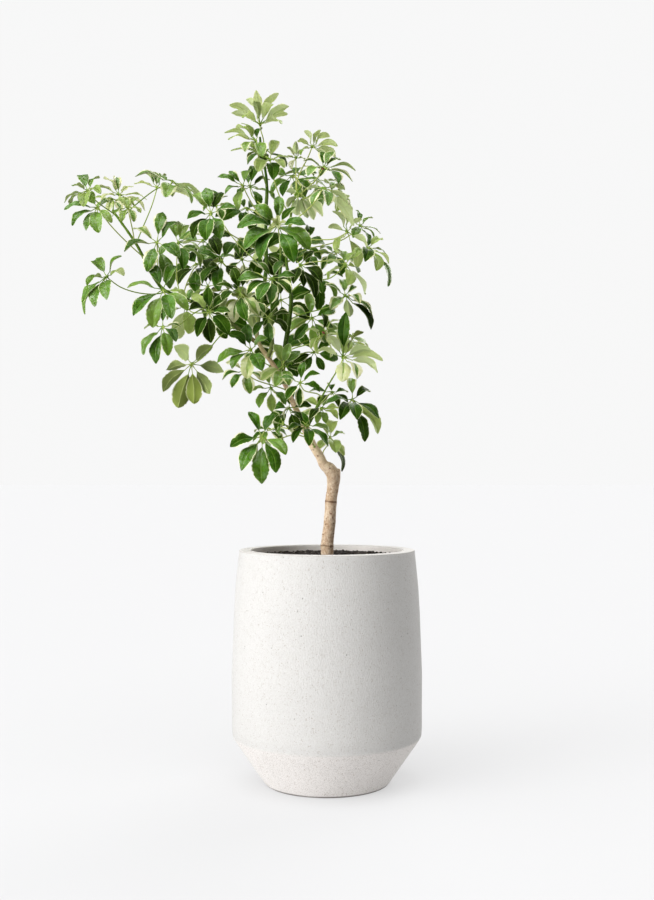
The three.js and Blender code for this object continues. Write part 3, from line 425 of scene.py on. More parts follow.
def blade_marks(f):
    """What both sides of a blade share: rib, veins, cream edge, grey-green beside it, and ragged noise."""
    across, along = f.across_and_along()
    chance = f.mark("chance")
    off_middle = abs(across * 2 - 1)
    side = (across - 0.5).rise(-0.02, 0.02)
    rib = 1 - off_middle.rise(0.03, 0.11)
    slant = (along * VEIN_PAIRS - off_middle * VEIN_SLANT + side * SIDES_APART + chance) * (2 * math.pi)
    veins = abs(slant.wave()) ** 6.0
    veins = (1 - (1 - veins).rise(0.0, 0.3)) * (1 - off_middle.rise(0.75, 1.0))
    jag = f.cloud(1.0, f.spot((95.0, 95.0, 95.0), chance * 50), detail=4.0, roughness=0.65)
    lobe = f.cloud(1.0, f.spot((34.0, 34.0, 34.0), chance * 80), detail=1.0)
    reach = off_middle + (jag - 0.5) * 0.36 + (lobe - 0.5) * 1.1 + along.rise(0.55, 1.0) * 0.12
    past = reach - (1.24 - f.mark("cream") * 1.15)
    hem = (off_middle + (jag - 0.5) * 0.3).rise(0.88, 0.95) * 0.7
    edge = past.rise(-0.012, 0.03).most(hem)
    grey = past.rise(-0.36, -0.2) * jag.rise(0.42, 0.6)
    return rib, veins, edge, grey, jag


LEAF_DEEP = ink(14, 42, 0)
LEAF_DARK = ink(58, 108, 10)
LEAF_BRIGHT = ink(114, 160, 50)
LEAF_YOUNG = ink(196, 214, 140)
LEAF_MOTTLE = ink(80, 128, 30)
# Painted sheen: pale patches standing for gloss on the upper side
LEAF_PAINTED_SHEEN = ink(136, 174, 116)
# Painted shade between the sheen patches
LEAF_PAINTED_SHADE = ink(20, 52, 0)
LEAF_GREY = ink(124, 156, 84)
LEAF_VEIN = ink(108, 150, 48)
LEAF_RIB = ink(144, 180, 84)
LEAF_LIT_THROUGH = ink(212, 228, 150)


def blade_upper():
    """The glossy upper side: dark to bright green by tone, with a pale rib, cream sectors at the edge, and
    patches of painted sheen and painted shade.
    """
    f = Finish(
        "leaf_upper", Specular_IOR_Level=0.36, Specular_Tint=LEAF_SHEEN, Coat_Roughness=0.28, Coat_IOR=1.7
    )
    tone = f.mark("tone")
    rib, veins, edge, grey, jag = blade_marks(f)
    mottle = f.cloud(140.0)
    swell = f.cloud(300.0)
    sheen_patches = f.cloud(48.0, detail=2.0)
    green = f.mix(tone.rise(0.0, 0.4), LEAF_DEEP, LEAF_DARK)
    green = f.mix(tone.rise(0.35, 0.7), green, LEAF_BRIGHT)
    green = f.mix(tone.rise(0.65, 1.0), green, LEAF_YOUNG)
    green = f.mix((mottle - 0.4) * 0.25, green, LEAF_MOTTLE)
    # Painted sheen in patches on lighter leaves
    green = f.mix(sheen_patches.rise(0.48, 0.62) * tone.rise(0.1, 0.5) * 0.38, green, LEAF_PAINTED_SHEEN)
    # Painted shade where the sheen patches are weakest
    green = f.mix((1 - sheen_patches.rise(0.34, 0.50)) * 0.42, green, LEAF_PAINTED_SHADE)
    green = f.mix(grey * 0.3, green, LEAF_GREY)
    green = f.mix(veins * 0.18, green, LEAF_VEIN)
    green = f.mix(rib * 0.5, green, LEAF_RIB)
    colour = f.mix(edge, green, f.mix(jag.rise(0.4, 0.62), CREAM_WARM, CREAM))
    bump = f.relief(swell * 1.3 + mottle * 0.6 - veins * 0.7 - rib * 0.5, 1.8 * MM, 0.9)
    rough = 0.24 + swell * 0.22 + edge * 0.12
    gloss = tone.rise(0.2, 0.6) * swell.rise(0.40, 0.60)
    f.give(Base_Color=colour, Roughness=rough, Coat_Weight=gloss, Normal=bump)
    f.let_light_through(LEAF_LIT_THROUGH, 0.01 + tone.rise(0.35, 1.0) * 0.50)
    return f.material


UNDER_OLIVE = ink(144, 158, 80)
UNDER_GREEN = ink(194, 208, 156)
UNDER_PALE = ink(242, 246, 224)
UNDER_MOTTLE = ink(148, 168, 88)
UNDER_GREY = ink(206, 214, 168)
UNDER_VEIN = ink(190, 204, 134)
UNDER_RIB = ink(206, 216, 148)
UNDER_LIT_THROUGH = ink(244, 244, 228)


def blade_under():
    """The dull under side: pale grey-green or olive, with raised veins."""
    f = Finish("leaf_under", Specular_IOR_Level=0.15, Specular_Tint=LEAF_SHEEN)
    tone = f.mark("tone")
    rib, veins, edge, grey, _ = blade_marks(f)
    mottle = f.cloud(190.0)
    green = f.mix(tone.rise(0.0, 0.5), UNDER_OLIVE, UNDER_GREEN)
    green = f.mix(tone.rise(0.5, 1.0), green, UNDER_PALE)
    green = f.mix((mottle - 0.3) * 0.3, green, UNDER_MOTTLE)
    green = f.mix(grey * 0.4, green, UNDER_GREY)
    green = f.mix(veins * 0.25, green, UNDER_VEIN)
    green = f.mix(rib * 0.6, green, UNDER_RIB)
    bump = f.relief(mottle * 0.2 + veins * 0.5 + rib * 1.0, 0.6 * MM, 0.7)
    f.give(Base_Color=f.mix(edge, green, CREAM), Roughness=0.52 + mottle * 0.2, Normal=bump)
    f.let_light_through(UNDER_LIT_THROUGH, 0.08 + tone * 0.56)
    return f.material


FINISHES = {
    "cast_stone": cast_stone(),
    "potting_mix": potting_mix(),
    "bark": bark(),
    "green_stem": green_stem(),
    "leaf_upper": blade_upper(),
    "leaf_under": blade_under(),
}

# Meshes


class Form:
    """A piece in the making: its points and faces, with a finish, marks and a map place for each face."""

    # The stain mark carries real stains on bark and stalks, and painted shade on the planter's rim edge
    MARKS = ("tone", "cream", "chance", "stain_and_painted_shade", "inside")

    def __init__(self, *finishes):
        self.finishes = finishes
        self.points, self.faces, self.kinds, self.spread = [], [], [], []
        self.marks = {mark: [] for mark in self.MARKS}

    def add(self, points):
        """Takes points in and gives the numbers that they got."""
        first = len(self.points)
        self.points += points
        return list(range(first, len(self.points)))

    def face(self, corners, places, finish, **marks):
        """Takes in a face with the map place of each corner; marks that aren't given are 0."""
        self.faces.append(corners)
        self.spread += places
        self.kinds.append(self.finishes.index(finish))
        for mark in self.MARKS:
            self.marks[mark].append(marks.get(mark, 0.0))

    def loft(self, rings, finish, marks):
        """A closed skin over rings of points; marks gives the marks at a share of the way along."""
        rows = [self.add(ring) for ring in rings]
        around, steps = len(rows[0]), len(rows) - 1
        for i in range(steps):
            low, high = i / steps, (i + 1) / steps
            for j in range(around):
                k = (j + 1) % around
                left, right = j / around, (j + 1) / around
                self.face(
                    [rows[i][j], rows[i][k], rows[i + 1][k], rows[i + 1][j]],
                    [(left, low), (right, low), (right, high), (left, high)],
                    finish,
                    **marks((low + high) / 2),
                )
        for row, turn, share in ((rows[0], -1, 0.0), (rows[-1], 1, 1.0)):
            middle = self.add([centre(self.points, row)])[0]
            for j in range(around):
                pair = [row[j], row[(j + 1) % around]][::turn]
                self.face([*pair, middle], [(j / around, share)] * 3, finish, **marks(share))

    def make(self, name, stands_for, crease=math.radians(50)):
        """The finished piece, on its body and in place of its nodes."""
        mesh = bpy.data.meshes.new(name)
        mesh.from_pydata(self.points, [], self.faces)
        for finish in self.finishes:
            mesh.materials.append(FINISHES[finish])
        mesh.polygons.foreach_set("material_index", self.kinds)
        layer = mesh.uv_layers.new(name="blade")
        layer.data.foreach_set("uv", [number for pair in self.spread for number in pair])
        for mark, values in self.marks.items():
            if any(values):
                mesh.attributes.new(mark, "FLOAT", "FACE").data.foreach_set("value", values)
        mesh.shade_smooth()
        mesh.set_sharp_from_angle(angle=crease)
        mesh.validate()
        piece = bpy.data.objects.new(name, mesh)
        bpy.context.scene.collection.objects.link(piece)
        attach(piece, "root")
        if stands_for:
            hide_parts(*stands_for)


def centre(points, chosen):
    """The middle of the chosen points."""
    return sum((points[i] for i in chosen), Vector()) / len(chosen)


def smooth_path(points, steps):
    """A curve through the points, with this many steps between each two of them."""
    ends = [points[0] * 2 - points[1], *points, points[-1] * 2 - points[-2]]
    found = []
    for i in range(1, len(ends) - 2):
        a, b, c, d = ends[i - 1 : i + 3]
        for k in range(steps):
            t = k / steps
            curve = 2 * b + (c - a) * t + (2 * a - 5 * b + 4 * c - d) * t**2 + (3 * b - a - 3 * c + d) * t**3
            found.append(0.5 * curve)
    return [*found, points[-1].copy()]


def smooth_numbers(numbers, steps):
    """The same curve through numbers instead of points."""
    return [p.x for p in smooth_path([Vector((n, 0.0, 0.0)) for n in numbers], steps)]


NEARLY_ALONG = 0.05


def crosswise(direction, hint=UP):
    """A direction square to the given one, near the hint."""
    square = hint - direction * hint.dot(direction)
    if square.length < NEARLY_ALONG:
        hint = Vector((1.0, 0.0, 0.0))
        square = hint - direction * hint.dot(direction)
    return square.normalized()


def turns(sides):
    """The angles of points spread evenly round a circle."""
    return [2 * math.pi * k / sides for k in range(sides)]


def about_axis(radius, turn, height):
    """A point round the planter's axis."""
    return Vector((radius * math.cos(turn), radius * math.sin(turn), height))


def rings_along(path, radii, sides):
    """Rings of points round a path, turned as little as possible from one to the next."""
    rings, across = [], UP
    for i, point in enumerate(path):
        ahead = (path[min(i + 1, len(path) - 1)] - path[max(i - 1, 0)]).normalized()
        across = crosswise(ahead, across)
        third = ahead.cross(across)
        ring = [point + (across * math.cos(t) + third * math.sin(t)) * radii[i] for t in turns(sides)]
        rings.append(ring)
    return rings


# Reading the nodes


def joined(node):
    """A node's points without doubles, and the neighbours of each."""
    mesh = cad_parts[node].data
    points, links, known, index = [], [], {}, []
    for vertex in mesh.vertices:
        key = tuple(round(c, 6) for c in vertex.co)
        if key not in known:
            known[key] = len(points)
            points.append(vertex.co.copy())
            links.append(set())
        index.append(known[key])
    for edge in mesh.edges:
        a, b = (index[i] for i in edge.vertices)
        if a != b:
            links[a].add(b)
            links[b].add(a)
    return points, links


def layers(start, links):
    """The points one step away from the start, then two steps away, and so on."""
    seen, layer = {start}, {start}
    while layer:
        yield layer
        layer = {n for i in layer for n in links[i]} - seen
        seen |= layer


STEM_SIDES = (8, 10)
STEM_TIP_SHARE = 0.6


def stem_course(node):
    """The middle line and radii of a stem, from its foot up, read off its rings."""
    points, links = joined(node)
    ends = [i for i, near in enumerate(links) if len(near) in STEM_SIDES]
    foot = min(ends, key=lambda i: points[i].z)
    course, radii = [points[foot]], [0.0]
    for layer in list(layers(foot, links))[1:]:
        middle = centre(points, layer)
        course.append(middle)
        if len(layer) in STEM_SIDES:
            radii.append(sum((points[i] - middle).length for i in layer) / len(layer))
        else:
            radii.append(radii[-1] * STEM_TIP_SHARE)
    radii[0] = radii[1]
    return course, radii


STALK_RINGS = 5
HUB_RISE = 1.9 * MM
LEAST_BLADE = 4 * MM
FOOT_REACH = 2.5 * MM
SHARP_END_LINKS = 4


def widest_pair(points, chosen):
    """The two of the chosen points that are farthest apart."""
    return max(itertools.combinations(chosen, 2), key=lambda pair: (points[pair[0]] - points[pair[1]]).length)


class Leaflet:
    """One blade: where it starts, its tip, the way its upper side faces, half its width, and its arch.

    Its look is its tone and its share of cream, which are given to it later.
    """

    def __init__(self, base, tip, upper, half, arch):
        self.base, self.tip, self.upper, self.half, self.arch = base, tip, upper, half, arch
        self.look = None

    def along(self, shares):
        """Points at these shares of the way from the base to the tip."""
        return [self.base.lerp(self.tip, share) for share in shares]


class Leaf:
    """One compound leaf: its stalk's middle line, its hub, the way the hub opens, and its leaflets."""

    def __init__(self, stalk, hub, opening, leaflets):
        self.stalk, self.hub, self.opening, self.leaflets = stalk, hub, opening, leaflets


def read_leaf(node):
    """The leaf that a leaf node holds, read off the way its points are linked."""
    points, links = joined(node)
    spans = [[(points[i] - points[j]).length for j in near] for i, near in enumerate(links)]
    sharp_ends = [i for i, span in enumerate(spans) if len(span) == SHARP_END_LINKS]
    foot = next(i for i in sharp_ends if max(spans[i]) < FOOT_REACH)
    stalk = [points[foot]]
    for layer in list(layers(foot, links))[1 : STALK_RINGS + 1]:
        stalk.append(centre(points, layer))
    opening = (stalk[-1] - stalk[-2]).normalized()
    apex = max(range(len(points)), key=lambda i: len(links[i]))
    hub = points[apex] - opening * HUB_RISE
    leaflets = []
    for tip in (i for i in sharp_ends if min(spans[i]) > LEAST_BLADE):
        _, outer, inner, start = (sorted(layer) for layer in itertools.islice(layers(tip, links), 4))
        left, right = widest_pair(points, inner)
        ribs = [points[i] for i in inner if i not in (left, right)]
        base = centre(points, start)
        middle = (centre(points, inner) + centre(points, outer)) / 2
        raised = (points[left] + points[right]) / 2 - (ribs[0] + ribs[1]) / 2
        upper = (ribs[0] - ribs[1]).normalized()
        upper = upper if upper.dot(raised) > 0 else -upper
        half = (points[left] - points[right]).length / 2
        arch = (middle - (base + points[tip]) / 2).dot(upper)
        leaflets.append(Leaflet(base, points[tip], upper, half, arch))
    return Leaf(stalk, hub, opening, leaflets)


# Growing blades

BLADE_ROWS = 19
BLADE_COLUMNS = (-1.0, -0.86, -0.55, -0.22, 0.0, 0.22, 0.55, 0.86, 1.0)
BLADE_THICK = 0.32 * MM
EDGE_THINNER = 0.75
RIB_THICK = 0.35 * MM
WIDEST_AT = 0.55
BLADE_FULLNESS = 1.10
DARK_BLADES_SHARPER = 0.38
TOOTHED_FROM = 0.45
TOOTH_DEPTH = 0.15
ROWS_CROWDED_AT_ENDS = 0.018
RIB_STEP = 0.02
UNTWISTED_AT = 0.3
EDGES_OUT_OF_STEP = 1.9

# How blades differ: the least and the most of each habit. A blade draws its own in this order. Nod and
# sway are shares of its length, twist and phase are angles, and ripple is in mm.
BLADE_HABITS = {
    "nod": (0.04, 0.13),
    "sway": (-0.05, 0.05),
    "twist": (-0.3, 0.3),
    "fold": (0.28, 0.60),
    "curl": (0.0, 0.22),
    "ripple": (0.3, 1.3),
    "phase": (0.0, 6.28),
    "waves": (1.2, 2.6),
    "point": (0.56, 0.82),
    "width": (0.94, 1.06),
}


def blade_width(share, point_power):
    """The width at a share of the blade's length, 1 at its widest place."""
    base_power = point_power * WIDEST_AT / (1 - WIDEST_AT)
    top = WIDEST_AT**base_power * (1 - WIDEST_AT) ** point_power
    return share**base_power * (1 - share) ** point_power / top


class Blade:
    """The shape of one blade: arched along its rib, folded and curled across it, and a little wavy."""

    def __init__(self, leaflet, tone, rng):
        self.leaflet = leaflet
        self.habit = {name: rng.uniform(*span) for name, span in BLADE_HABITS.items()}
        self.line = leaflet.tip - leaflet.base
        ahead = self.line.normalized()
        self.upper = crosswise(ahead, leaflet.upper)
        self.side = ahead.cross(self.upper)
        self.nod = self.habit["nod"] * self.line.length
        self.sway = self.habit["sway"] * self.line.length
        self.ripple = self.habit["ripple"] * MM
        self.point_power = self.habit["point"] * (1 + DARK_BLADES_SHARPER * (1 - tone))
        self.half = leaflet.half * BLADE_FULLNESS * self.habit["width"]

    def rib_at(self, share):
        """The point of the rib at a share of the blade's length."""
        hump = math.sin(math.pi * share)
        drop = hump**2 * 0.6 - share**4 * 0.5 + share * 0.5
        lift = self.leaflet.arch * hump + self.nod * drop
        return self.leaflet.base + self.line * share + self.upper * lift + self.side * self.sway * hump

    def row_at(self, share, notches):
        """The points of both sides straight across the blade; those of the under side lack the two ends."""
        habit = self.habit
        spot = self.rib_at(share)
        way = (self.rib_at(min(share + RIB_STEP, 1.0)) - self.rib_at(share - RIB_STEP)).normalized()
        up = Matrix.Rotation(habit["twist"] * (share - UNTWISTED_AT), 3, way) @ crosswise(way, self.upper)
        out = way.cross(up)
        wide = self.half * blade_width(share, self.point_power)
        tops, unders = [], []
        for t in BLADE_COLUMNS:
            bend = habit["fold"] * abs(t) - habit["curl"] * t * t * 1.6
            lag = EDGES_OUT_OF_STEP if t > 0 else 0.0
            wavy = self.ripple * math.sin(habit["waves"] * 2 * math.pi * share + habit["phase"] + lag) * t * t
            reach = 1 - 0.12 * bend - notches[t > 0] * t**4
            at = spot + out * wide * t * reach + up * (wide * bend * 0.9 + wavy)
            thick = BLADE_THICK * (1 - abs(t) ** 3 * EDGE_THINNER)
            rib = RIB_THICK * max(0.0, 1 - abs(t) * 6)
            tops.append(at + up * (thick - rib * 0.3))
            if abs(t) < 1:
                unders.append(at - up * (thick + rib))
        return tops, unders


def cover_blade(form, sheet, ends, finish, turn, look):
    """The faces of one side of a blade; turn is -1 for the side that is seen from below."""
    base, tip = ends
    shares = [(t + 1) / 2 for t in BLADE_COLUMNS]
    pairs = list(zip(shares, shares[1:]))
    for i in range(len(sheet) - 1):
        low, high = (i + 1) / BLADE_ROWS, (i + 2) / BLADE_ROWS
        for j, (left, right) in enumerate(pairs):
            corners = [sheet[i][j], sheet[i][j + 1], sheet[i + 1][j + 1], sheet[i + 1][j]]
            places = [(left, low), (right, low), (right, high), (left, high)]
            form.face(corners[::turn], places[::turn], finish, **look)
    low, high = 1 / BLADE_ROWS, 1 - 1 / BLADE_ROWS
    for j, (left, right) in enumerate(pairs):
        heel = [base, sheet[0][j + 1], sheet[0][j]]
        form.face(heel[::turn], [(0.5, 0.0), (right, low), (left, low)][::turn], finish, **look)
        point = [tip, sheet[-1][j], sheet[-1][j + 1]]
        form.face(point[::turn], [(0.5, 1.0), (left, high), (right, high)][::turn], finish, **look)


def grow_blade(form, leaflet, look, rng):
    """A thin blade with an upper and an under side, toothed along its outer half."""
    blade = Blade(leaflet, look["tone"], rng)
    teeth = random.Random(round(look["chance"] * 1e6))
    above, below = [], []
    for i in range(1, BLADE_ROWS):
        share = i / BLADE_ROWS
        toothed = i % 2 and share > TOOTHED_FROM
        notches = [TOOTH_DEPTH * teeth.random() if toothed else 0.0 for _ in range(2)]
        tops, unders = blade.row_at(share - ROWS_CROWDED_AT_ENDS * math.sin(2 * math.pi * share), notches)
        above.append(form.add(tops))
        inner = form.add(unders)
        below.append([above[-1][0], *inner, above[-1][-1]])
    ends = (form.add([leaflet.base])[0], form.add([blade.rib_at(1.0)])[0])
    cover_blade(form, above, ends, "leaf_upper", 1, look)
    cover_blade(form, below, ends, "leaf_under", -1, look)


# Growing whole leaves

LEAFLET_STALK = 0.75 * MM
LEAFLET_STALK_SIDES = 8
BARE_SHARE = 0.07
STALK_INTO_BLADE = 2.5 * MM
HUB_RADIUS = 2.6 * MM
STALK_RADIUS = 1.0 * MM
STALK_SIDES = 10
STALK_STEPS = 4
HUB_SIDES = 12

# The knob at the end of a stalk: how far along the opening, and how thick, both in mm
HUB_PROFILE = ((-2.2, 1.2), (-1.2, 1.9), (0.0, 2.2), (1.1, 1.6), (1.8, 0.5))

# Hubs that show a reddish knob, by the pixel where they are seen, and how much thicker such a knob is
RED_HUBS = ((317, 166), (324, 333))
RED_HUB_GIRTH = 1.5

# How many small cream leaflets stand in a hub where they have only just opened
NEW_GROWTH = {"foliage_front_1": 5}
NEW_LEAFLET = 13 * MM
NEW_LEAFLET_TURN = 2.4

TONE_STRAY = (-0.21, 0.21)
CREAM_STRAY = (0.55, 1.45)
LEAST_CREAM = 0.02


def grow_leaflet(form, leaf, leaflet, look, rng):
    """A blade and the short stalk that carries it from the hub."""
    leaflet.base = leaflet.base.lerp(leaflet.tip, BARE_SHARE)
    out = (leaflet.base - leaf.hub).normalized()
    start = leaf.hub + (out + leaf.opening * 0.4).normalized() * HUB_RADIUS * 0.5
    heel = (leaflet.tip - leaflet.base).normalized()
    reach = (leaflet.base - start).length
    bend = (start + leaflet.base) / 2 + leaf.opening * reach * 0.05
    path = smooth_path([start, bend, leaflet.base, leaflet.base + heel * STALK_INTO_BLADE], STALK_STEPS)
    radii = []
    for i in range(len(path)):
        share = i / (len(path) - 1)
        radii.append(LEAFLET_STALK * (1.45 - 0.75 * min(1, share * 2.2) + 0.12 * share))
    radii[-1] *= 0.35
    green = {"tone": 0.78 + rng.uniform(-0.08, 0.14), "chance": look["chance"]}
    form.loft(rings_along(path, radii, LEAFLET_STALK_SIDES), "green_stem", lambda share: green)
    grow_blade(form, leaflet, look, rng)


def grow_stalk(form, leaf, rng):
    """The stalk with its swollen foot, and the knob at its end."""
    path = smooth_path([*leaf.stalk, leaf.hub], STALK_STEPS)
    radii = []
    for i in range(len(path)):
        share = i / (len(path) - 1)
        foot = 0.9 * max(0.0, 1 - share * 9) ** 1.5
        head = 0.75 * max(0.0, (share - 0.9) * 10) ** 2
        radii.append(STALK_RADIUS * (1 - 0.15 * share + foot + head))
    chance = rng.random()
    tone = 0.80 + rng.uniform(-0.1, 0.2)
    form.loft(
        rings_along(path, radii, STALK_SIDES),
        "green_stem",
        lambda share: {"tone": tone + 0.15 * share, "chance": chance},
    )
    red = near_pixel(leaf.hub, RED_HUBS) is not None
    knob = [leaf.hub + leaf.opening * along * MM for along, _ in HUB_PROFILE]
    sizes = [size * (RED_HUB_GIRTH if red else 1.0) * MM for _, size in HUB_PROFILE]
    form.loft(
        rings_along(smooth_path(knob, 2), smooth_numbers(sizes, 2), HUB_SIDES),
        "green_stem",
        lambda share: {"tone": 0.62, "chance": chance, "stain_and_painted_shade": 0.9 if red else 0.0},
    )


def grow_leaf(name, leaf, rng, stands_for):
    """One compound leaf as a piece, whose leaflets stray a little from the looks that they were given."""
    form = Form("green_stem", "leaf_upper", "leaf_under")
    grow_stalk(form, leaf, rng)
    girth = next((share for group, share in GIRTH.items() if name.startswith("foliage_" + group)), 1.0)
    for leaflet in leaf.leaflets:
        leaflet.half *= girth
        tone, cream = leaflet.look
        look = {
            "tone": min(1.0, max(0.0, tone + rng.uniform(*TONE_STRAY))),
            "cream": min(1.0, max(LEAST_CREAM, cream * rng.uniform(*CREAM_STRAY))),
            "chance": rng.random(),
        }
        grow_leaflet(form, leaf, leaflet, look, rng)
    opening = leaf.opening
    for k in range(NEW_GROWTH.get(name, 0)):
        lean = Matrix.Rotation(k * NEW_LEAFLET_TURN, 3, opening) @ crosswise(opening)
        heel = leaf.hub + (opening + lean * 0.5) * 2.5 * MM
        tip = heel + (opening * 0.5 + lean * 0.9) * NEW_LEAFLET
        young = Leaflet(heel, tip, opening - lean * 0.5, 3.2 * MM, 1 * MM)
        grow_blade(form, young, {"tone": 0.98, "cream": 1.0, "chance": rng.random()}, rng)
    form.make(name, stands_for)


# How much wider the leaflets of some leaves are than their nodes say, by the first words of the leaf's name
GIRTH = {
    "top_1": 0.74,
    "inner_left_6": 1.1,
    "inner_left": 1.22,
    "middle": 1.2,
    "front": 1.12,
    "low_left": 1.08,
}

# How light the green of each leaf is, and how much of it is cream, both from 0 to 1
LEAF_LOOKS = {
    "leaf_top_1": (1.00, 0.15),
    "leaf_top_2": (0.85, 0.40),
    "leaf_top_3": (1.00, 0.35),
    "leaf_upper_1": (0.60, 0.25),
    "leaf_upper_2": (0.40, 0.05),
    "leaf_right_top_1": (0.60, 0.70),
    "leaf_right_top_2": (0.95, 0.20),
    "leaf_right_top_3": (0.45, 0.40),
    "leaf_right_top_4": (0.35, 0.35),
    "leaf_right_top_5": (0.75, 0.35),
    "leaf_right_top_6": (0.55, 0.35),
    "leaf_right_1": (1.00, 0.20),
    "leaf_right_2": (0.50, 0.15),
    "leaf_right_3": (0.95, 0.10),
    "leaf_right_4": (0.75, 0.15),
    "leaf_right_5": (0.50, 0.70),
    "leaf_inner_right_1": (0.05, 0.25),
    "leaf_inner_right_2": (0.45, 0.35),
    "leaf_inner_right_3": (1.00, 0.40),
    "leaf_low_right_1": (1.00, 0.25),
    "leaf_low_right_2": (0.25, 0.20),
    "leaf_low_right_3": (1.00, 0.50),
    "leaf_low_left_1": (0.45, 0.25),
    "leaf_low_left_2": (0.50, 0.60),
    "leaf_low_left_3": (0.20, 0.25),
    "leaf_front_1": (0.35, 0.15),
    "leaf_front_2": (0.35, 0.35),
    "leaf_front_3": (0.10, 0.25),
    "leaf_front_4": (0.20, 0.45),
    "leaf_middle_1": (0.50, 0.10),
    "leaf_middle_2": (0.40, 0.70),
    "leaf_middle_3": (0.70, 0.45),
    "leaf_middle_4": (0.70, 0.30),
    "leaf_middle_5": (0.25, 0.35),
    "leaf_inner_left_1": (0.30, 0.10),
    "leaf_inner_left_2": (0.25, 0.60),
    "leaf_inner_left_3": (0.65, 0.30),
    "leaf_inner_left_4": (0.05, 0.10),
    "leaf_inner_left_5": (0.05, 0.20),
    "leaf_inner_left_6": (0.25, 0.05),
    "leaf_inner_left_7": (0.15, 0.05),
    "leaf_inner_left_8": (0.40, 0.60),
    "leaf_left_1": (0.50, 0.45),
    "leaf_left_2": (0.50, 0.30),
    "leaf_left_3": (0.75, 0.15),
    "leaf_left_4": (0.60, 0.15),
    "leaf_left_5": (0.60, 0.10),
    "leaf_left_6": (0.60, 0.20),
    "leaf_far_left_1": (0.70, 0.10),
    "leaf_far_left_2": (0.60, 0.10),
    "leaf_far_left_3": (0.70, 0.75),
    "leaf_far_left_4": (0.80, 0.55),
    "leaf_back_1": (0.90, 0.05),
}

# Single leaflets that look different from the rest of their leaf, by the pixel of their tip
LEAFLET_LOOKS = {
    (248, 97): (0.95, 0.50),
    (256, 90): (0.98, 0.45),
    (279, 93): (0.98, 0.50),
    (342, 382): (0.70, 0.95),
    (357, 379): (0.50, 0.60),
    (254, 100): (0.45, 0.30),
    (262, 130): (0.15, 0.20),
    (240, 145): (0.80, 0.45),
    (272, 179): (0.10, 0.20),
    (268, 178): (0.10, 0.20),
    (136, 184): (0.90, 0.80),
    (171, 193): (0.50, 0.40),
    (205, 198): (0.75, 0.35),
    (192, 198): (0.75, 0.35),
    (136, 231): (0.80, 0.40),
    (170, 289): (0.45, 0.06),
    (176, 266): (0.45, 0.06),
    (120, 275): (0.85, 0.40),
    (188, 298): (0.90, 0.20),
    (180, 328): (0.15, 0.50),
    (235, 208): (0.60, 0.15),
    (237, 228): (0.25, 0.14),
    (235, 323): (0.30, 0.95),
    (259, 316): (0.70, 0.45),
    (366, 259): (0.15, 0.20),
    (386, 254): (0.15, 0.20),
    (388, 287): (0.70, 0.25),
    (356, 270): (0.12, 0.20),
    (365, 295): (0.85, 0.30),
    (371, 332): (0.08, 0.15),
    (318, 312): (0.12, 0.15),
    (312, 370): (0.12, 0.20),
    (323, 390): (0.12, 0.20),
    (370, 350): (0.75, 0.30),
    (346, 312): (0.38, 0.15),
    (374, 341): (0.15, 0.10),
    (349, 373): (0.95, 0.80),
    (377, 434): (0.85, 0.20),
    (343, 411): (0.85, 0.20),
    (338, 432): (0.85, 0.20),
    (342, 472): (0.10, 0.15),
    (243, 384): (0.80, 0.85),
    (228, 334): (0.10, 0.10),
    (299, 406): (0.12, 0.45),
}

# Leaflets that turn their glossy upper side to the front though their node says otherwise, by their tip
TURNED_OVER = ((346, 312),)
TURNED_OVER_WIDTH = 0.8

